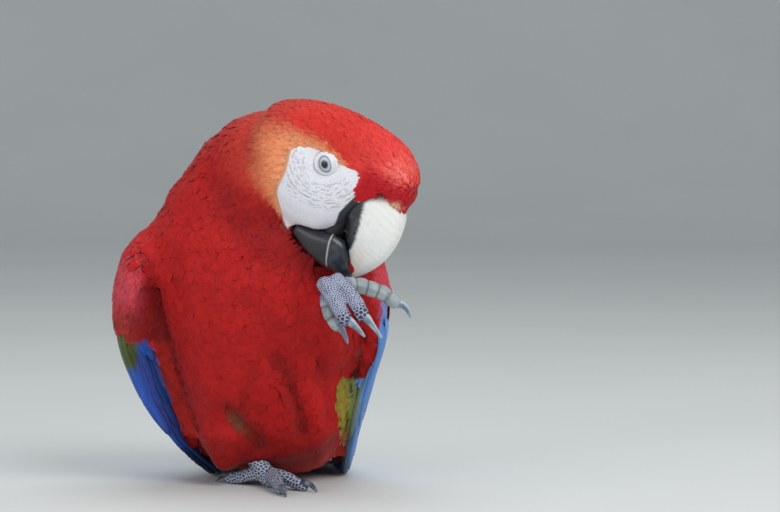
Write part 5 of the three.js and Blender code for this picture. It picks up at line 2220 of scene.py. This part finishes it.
# ---------- studio ----------
class Studio:
    """The pale floor, soft light and the camera."""

    target = (0.087, -0.020, 0.170)
    elevation = 3.0
    distance = 2.5
    frame_width = 0.5616
    sensor = 36.0

    def floor(self) -> bpy.types.Object:
        """A floor that sweeps up far behind the bird."""
        bm = bmesh.new()
        radius, start = 2.4, 3.6
        profile = [(-5.0, 0.0), (start, 0.0)]
        turn = np.linspace(0.1, math.pi / 2, 16)
        profile += [(start + radius * math.sin(a), radius - radius * math.cos(a)) for a in turn]
        profile += [(start + radius, 6.0)]
        verts = [bm.verts.new((-7.0, y, z)) for y, z in profile]
        edges = [bm.edges.new(pair) for pair in zip(verts, verts[1:])]
        made = bmesh.ops.extrude_edge_only(bm, edges=edges)["geom"]
        moved = [g for g in made if isinstance(g, bmesh.types.BMVert)]
        bmesh.ops.translate(bm, verts=moved, vec=(14.0, 0, 0))
        bmesh.ops.recalc_face_normals(bm, faces=bm.faces)
        piece = settle("floor", bm)
        if piece.data.polygons[0].normal.z < 0:
            piece.data.flip_normals()
        piece.data.materials.append(FloorFinish().material())
        return piece

    @staticmethod
    def lamp(name: str, at: Sequence[float], size: float, power: float, tint: Sequence[float]) -> None:
        """A square soft light aimed at the bird."""
        data = bpy.data.lights.new(name, "AREA")
        data.size, data.energy, data.color = size, power, tint
        lamp = placed(name, data)
        lamp.location = at
        aim = Vector((0.0, 0.0, 0.17)) - Vector(at)
        lamp.rotation_euler = aim.to_track_quat("-Z", "Y").to_euler()

    def lights(self) -> None:
        """Key, fill and top lights and an even sky."""
        self.lamp("key light", (1.1, -1.7, 1.5), 1.3, 33, (1.0, 0.99, 0.97))
        self.lamp("fill light", (-1.5, -2.0, 0.7), 1.7, 20, (0.96, 0.98, 1.0))
        self.lamp("top light", (0.1, 0.3, 2.1), 1.6, 16, (1.0, 1.0, 1.0))
        world = bpy.data.worlds.new("even sky")
        world.use_nodes = True
        sky = world.node_tree.nodes["Background"]
        sky.inputs["Color"].default_value = (0.88, 0.93, 0.97, 1)
        sky.inputs["Strength"].default_value = 0.5
        bpy.context.scene.world = world
        bpy.context.scene.view_settings.view_transform = "Standard"

    def camera(self) -> None:
        """The camera, level with the bird and a little above it."""
        data = bpy.data.cameras.new("camera")
        data.sensor_width = self.sensor
        data.lens = self.sensor * self.distance / self.frame_width
        data.clip_start, data.clip_end = 0.05, 50
        camera = placed("camera", data)
        rise = math.radians(self.elevation)
        back = Vector((0, -math.cos(rise), math.sin(rise))) * self.distance
        camera.location = Vector(self.target) + back
        camera.rotation_euler = (-back).to_track_quat("-Z", "Y").to_euler()
        bpy.context.scene.camera = camera


# ---------- where feathers grow ----------
class BodyCoat:
    """The small feathers of head, neck and trunk, where they are open to the air."""

    pieces = (
        # name, range of mm from the head's centre, whether before the legs, slot, sections in a vane
        ("coat_head", 0, 61, None, "head_plumage", 5),
        ("coat_neck", 59.6, 106, None, "body_plumage", 6),
        ("coat_breast", 104.5, 999, True, "body_plumage", 6),
        ("coat_back", 104.5, 999, False, "body_plumage", 6),
    )
    legs = 30.0  # the y that parts breast from back
    chin_gap, horn_gap = 4.5, 0.9  # mm from roots to the bill, under its lower half and elsewhere
    tip_share = 0.8  # how much of a feather's length is tested for what it would cover
    seam = 7.0  # half-width of the strip on the crown that needs no such test

    def __init__(self, coat: Coat, guides: Guides) -> None:
        """Takes the lie of the coat and the shells that part the bird."""
        self.coat, self.guides = coat, guides

    def zone(self, low: float, high: float, ahead: bool | None) -> Callable[[Array], Array]:
        """A test for places at a range of distances from the head's centre, before or behind the legs."""

        def inside(points: Array) -> Array:
            """True where a feather may root."""
            away = HEAD.distance(points)
            before = points[:, 1] < self.legs
            return (away >= low) & (away < high) & (True if ahead is None else before == ahead)

        return inside

    def open_to_air(self, points: Array) -> Array:
        """Places that no bare skin, eye, bill or wing takes up."""
        guides = self.guides
        ok = FACE.outside(points) > 0.2
        close = ok & (HEAD.distance(points) < 90)
        horn_gap = guides.horn.height(points[close])
        ahead, above, _ = HEAD.local(points[close]).T
        needed = np.where((ahead > 28) & (above < -30), self.chin_gap, self.horn_gap)
        ok[close] = (horn_gap > needed) & (horn_gap > guides.body.height(points[close]))
        free = guides.parting(points[ok]) > 0.7
        for wing in WINGS:
            lined, beyond = wing.past_border(points[ok])
            free = np.where(lined, beyond < -2.2, free)
        ok[ok] = free
        near = ok & (HEAD.distance(points) < 80)
        ok[near] = self.clears_face(points[near])
        return ok

    def clears_face(self, roots: Array) -> Array:
        """Whether feathers of the head would leave the bare face, the bill and the mouth open."""
        ways, sizes = self.coat.at_points(roots)
        tips = roots + ways * sizes[:, :1] * self.tip_share
        at_root, at_tip = HEAD.local(roots), HEAD.local(tips)
        bill_gap = self.guides.horn.height(tips) - self.guides.body.height(tips)
        over_brow = (bill_gap > -0.6) & (FACE.cere(at_tip) < 0.8)
        ok = (np.abs(at_root[:, 2]) < self.seam) | (at_tip[:, 1] < -30) | over_brow
        return ok & (FACE.outside(tips) > -0.8) & ~FACE.mouth(at_tip) & ~FACE.mouth(at_root)

    def off_bill(self, points: Array) -> Array:
        """Places that are not in the bill or hard by its lower half."""
        local = HEAD.local(points)
        ok = np.ones(len(points), bool)
        low = (local[:, 0] > 22) & (local[:, 1] < -30) & (np.linalg.norm(local, axis=1) < 100)
        ok[low] = self.guides.horn.height(points[low]) > 0.8
        return ok

    def lay(self, plumage: Plumage, finish: bpy.types.Material) -> None:
        """Covers head, neck, breast and back."""
        for name, low, high, ahead, slot, sections in self.pieces:
            zone = self.zone(low, high, ahead)
            options = {"sections": sections, "clear": self.off_bill}
            plumage.cover(name, zone, self.open_to_air, plumage_colour, finish, slot, **options)


class ArmCoat:
    """The small coverts on the arm of one wing."""

    reach = 14.0  # how far each place of their lie is felt, in mm
    depth = 1.1  # mm that the strip beside the body lies under the body's feathers

    def __init__(self, wing: Wing, guides: Guides) -> None:
        """Takes the wing and the shells that part the bird."""
        self.wing, self.guides = wing, guides

    def zone(self, points: Array) -> Array:
        """The half of the bird that the wing is on, as far back as its small coverts go."""
        return ((points[:, 0] - middle_x(points[:, 1])) * self.wing.outward > 15) & (points[:, 1] < 66)

    def open_to_air(self, points: Array) -> Array:
        """Places of the arm that carry small coverts."""
        wing = self.wing
        lined, beyond = wing.past_border(points)
        ok = np.where(lined, beyond > -1.5, self.guides.parting(points) < -0.7)
        if wing.side is Side.LEFT:
            ok &= ~((points[:, 0] > 79.5) & (points[:, 2] < 152) & (points[:, 2] > 70))
        across, out = wing.coordinates(points)
        ok &= lined | (points[:, 1] < np.where(out > 0, wing.red_end(across) + 14, 56))
        rim = ((across < -0.78) | (out < 0)) & (points[:, 2] < wing.rim_top)
        return ok & (~rim | (wing.in_strip(points) > 0.5))

    def tints(self, points: Array) -> Array:
        """The wing's colours, with painted shade in the crease beside the body."""
        tint = self.wing.colour(points, *self.wing.coordinates(points))
        return blend(tint, COLOURS.furrow_shade, np.clip(furrowed(points) / 4.5, 0, 0.65))

    def sunk(self, points: Array) -> Array:
        """How far below the rest the coverts lie, in mm."""
        return self.depth * self.wing.in_strip(points)

    def lay(self, plumage: Plumage, finish: bpy.types.Material) -> None:
        """Covers the arm."""
        options = {"coat": Coat(self.wing.feathers_lies(), self.reach), "sunk": self.sunk, "fine": True}
        name = f"coverts_{self.wing.side.word}"
        plumage.cover(name, self.zone, self.open_to_air, self.tints, finish, "wing_plumage", **options)


# ---------- the bird ----------
def face_rows(skin: Skin, shell: bpy.types.Object) -> bpy.types.Object:
    """Rows of minute feathers curving below each eye.

    Args:
        skin: the skin that they grow from.
        shell: the face's outer surface.

    Returns:
        All of them as one piece.
    """
    rng = np.random.default_rng(17)
    surface = Shell.of_piece(shell)
    vanes = Vanes()
    sections, across = 4, 2
    first_row, row_apart, apart = 15.5, 3.1, 2.4  # mm from the eye, from row to row and along a row
    arc = (-2.95, -0.2)  # where a row begins and ends, in radians
    for eye in EYES:
        roots, ways = [], []
        for radius in np.arange(7) * row_apart + first_row:
            for angle in np.arange(*arc, apart / radius):
                a = eye.ahead + radius * math.cos(angle)
                b = eye.above + radius * math.sin(angle)
                jitter = rng.normal(size=2) * 0.25
                roots.append(HEAD.place((a + jitter[0], b + jitter[1], -eye.side.value * 24)))
                ways.append(HEAD.way((math.sin(angle) + 0.25 * math.cos(angle), -math.cos(angle), 0)))
        roots, ways = np.array(roots), np.array(ways)
        spot, out = surface.nearest(roots)
        local = HEAD.local(spot)
        keep = (FACE.outside(spot) < -2.0) & (FACE.dark(local) < 0.1) & (rng.random(len(spot)) < 0.7)
        spot, out, ways = spot[keep], out[keep], ways[keep]
        count = len(spot)
        ways = laid(ways, out)
        side = np.cross(out, ways)
        long = 2.6 + 0.5 * rng.normal(size=count)
        stations = np.linspace(0, 1, sections)
        x = np.linspace(-1, 1, across)
        rise = -0.75 + 0.5 * np.sin(stations * 2.0)
        middle = spot[:, None] + ways[:, None] * (long[:, None] * stations)[..., None]
        middle = middle + out[:, None] * rise[:, None]
        half = 0.3 * np.sqrt(1 - (stations * 0.94) ** 2)
        top = middle[:, :, None] + side[:, None, None] * (half[:, None] * x)[None, ..., None]
        bottom = top - out[:, None, None] * 0.15
        tint = np.tile(linear(196, 196, 204), (count, sections, across, 1))
        tint = tint * rng.uniform(0.75, 1.2, (count, 1, 1, 1))
        vane = np.zeros(top.shape)
        vane[..., 1] = (stations * 2)[None, :, None]
        vane[..., 2] = rng.random(count)[:, None, None]
        vanes.add(top, bottom, tint, vane, patches(skin.places(spot), stations, x))
    return vanes.piece("face_feathers")


def main() -> None:
    """Builds the studio and the bird, piece by piece."""
    logging.basicConfig(level=logging.INFO, format="%(message)s")
    studio = Studio()
    studio.camera()
    studio.floor()
    studio.lights()
    plume = PlumeFinish("scarlet plumes").material()
    stiff = PlumeFinish("stiff vanes", barb=1.3, roughness=0.55, sheen=0.05, shine=0.3).material()
    powder = PlumeFinish("face plumes", barb=0.8, strength=0.1, roughness=0.7).material()
    bare = MarkedFinish("bare skin", 0.6, 900, 0.12, soft=0.12).material()
    ivory = MarkedFinish("ivory horn", 0.3, 260, 0.03, 0.97, 1.02, soft=0.2, coat=0.2).material()
    horn = MarkedFinish("black horn", 0.38, 420, 0.05, 0.85, 1.1, coat=0.15).material()
    scales = MarkedFinish("leg scales", 0.6, 1500, 0.05, 0.88, 1.08).material()
    wet = MarkedFinish("wet eye", 0.2, 600, 0.0, 0.97, 1.02, coat=0.35).material()
    coat = Coat(head_lies() + body_lies(), 16)
    guides = Guides()
    skin = Skin(coat, guides)
    dress(skin.piece, bare, "bare_skin", *Skin.flesh)
    plumage = Plumage(skin, coat, guides.piece, Shell.of_piece(guides.piece))

    for eye in EYES:
        dress(eye.ball(), wet, "eye", f"eye_{eye.side.word}")
        dress(eye.lids(plumage.surface), bare, "bare_skin")
    bill = Bill()
    for piece, material, slot, nodes in (
        (bill.upper(), ivory, "ivory_bill", ["bill_upper"]),
        (bill.lower(), horn, "black_bill", ["bill_lower"]),
        (bill.nostrils(), horn, "black_bill", []),
        (bill.tongue(), bare, "tongue_skin", ["tongue"]),
    ):
        dress(piece, material, slot, *nodes)
    for side in Side:
        foot = Foot(side)
        dress(foot.skin(), scales, "leg_scales", *foot.flesh)
        dress(foot.claws(), horn, "claw_horn", *foot.nails)

    BodyCoat(coat, guides).lay(plumage, plume)
    for wing in WINGS:
        ArmCoat(wing, guides).lay(plumage, plume)
        dress(FlightFeathers(wing).piece(), stiff, "flight_feathers", f"wing_{wing.side.word}_flight")
    dress(Tail().piece(), stiff, "tail_plumage", "tail")
    dress(face_rows(skin, guides.piece), powder, "bare_skin")
    drop(guides.piece)


if __name__ == "__main__":
    main()
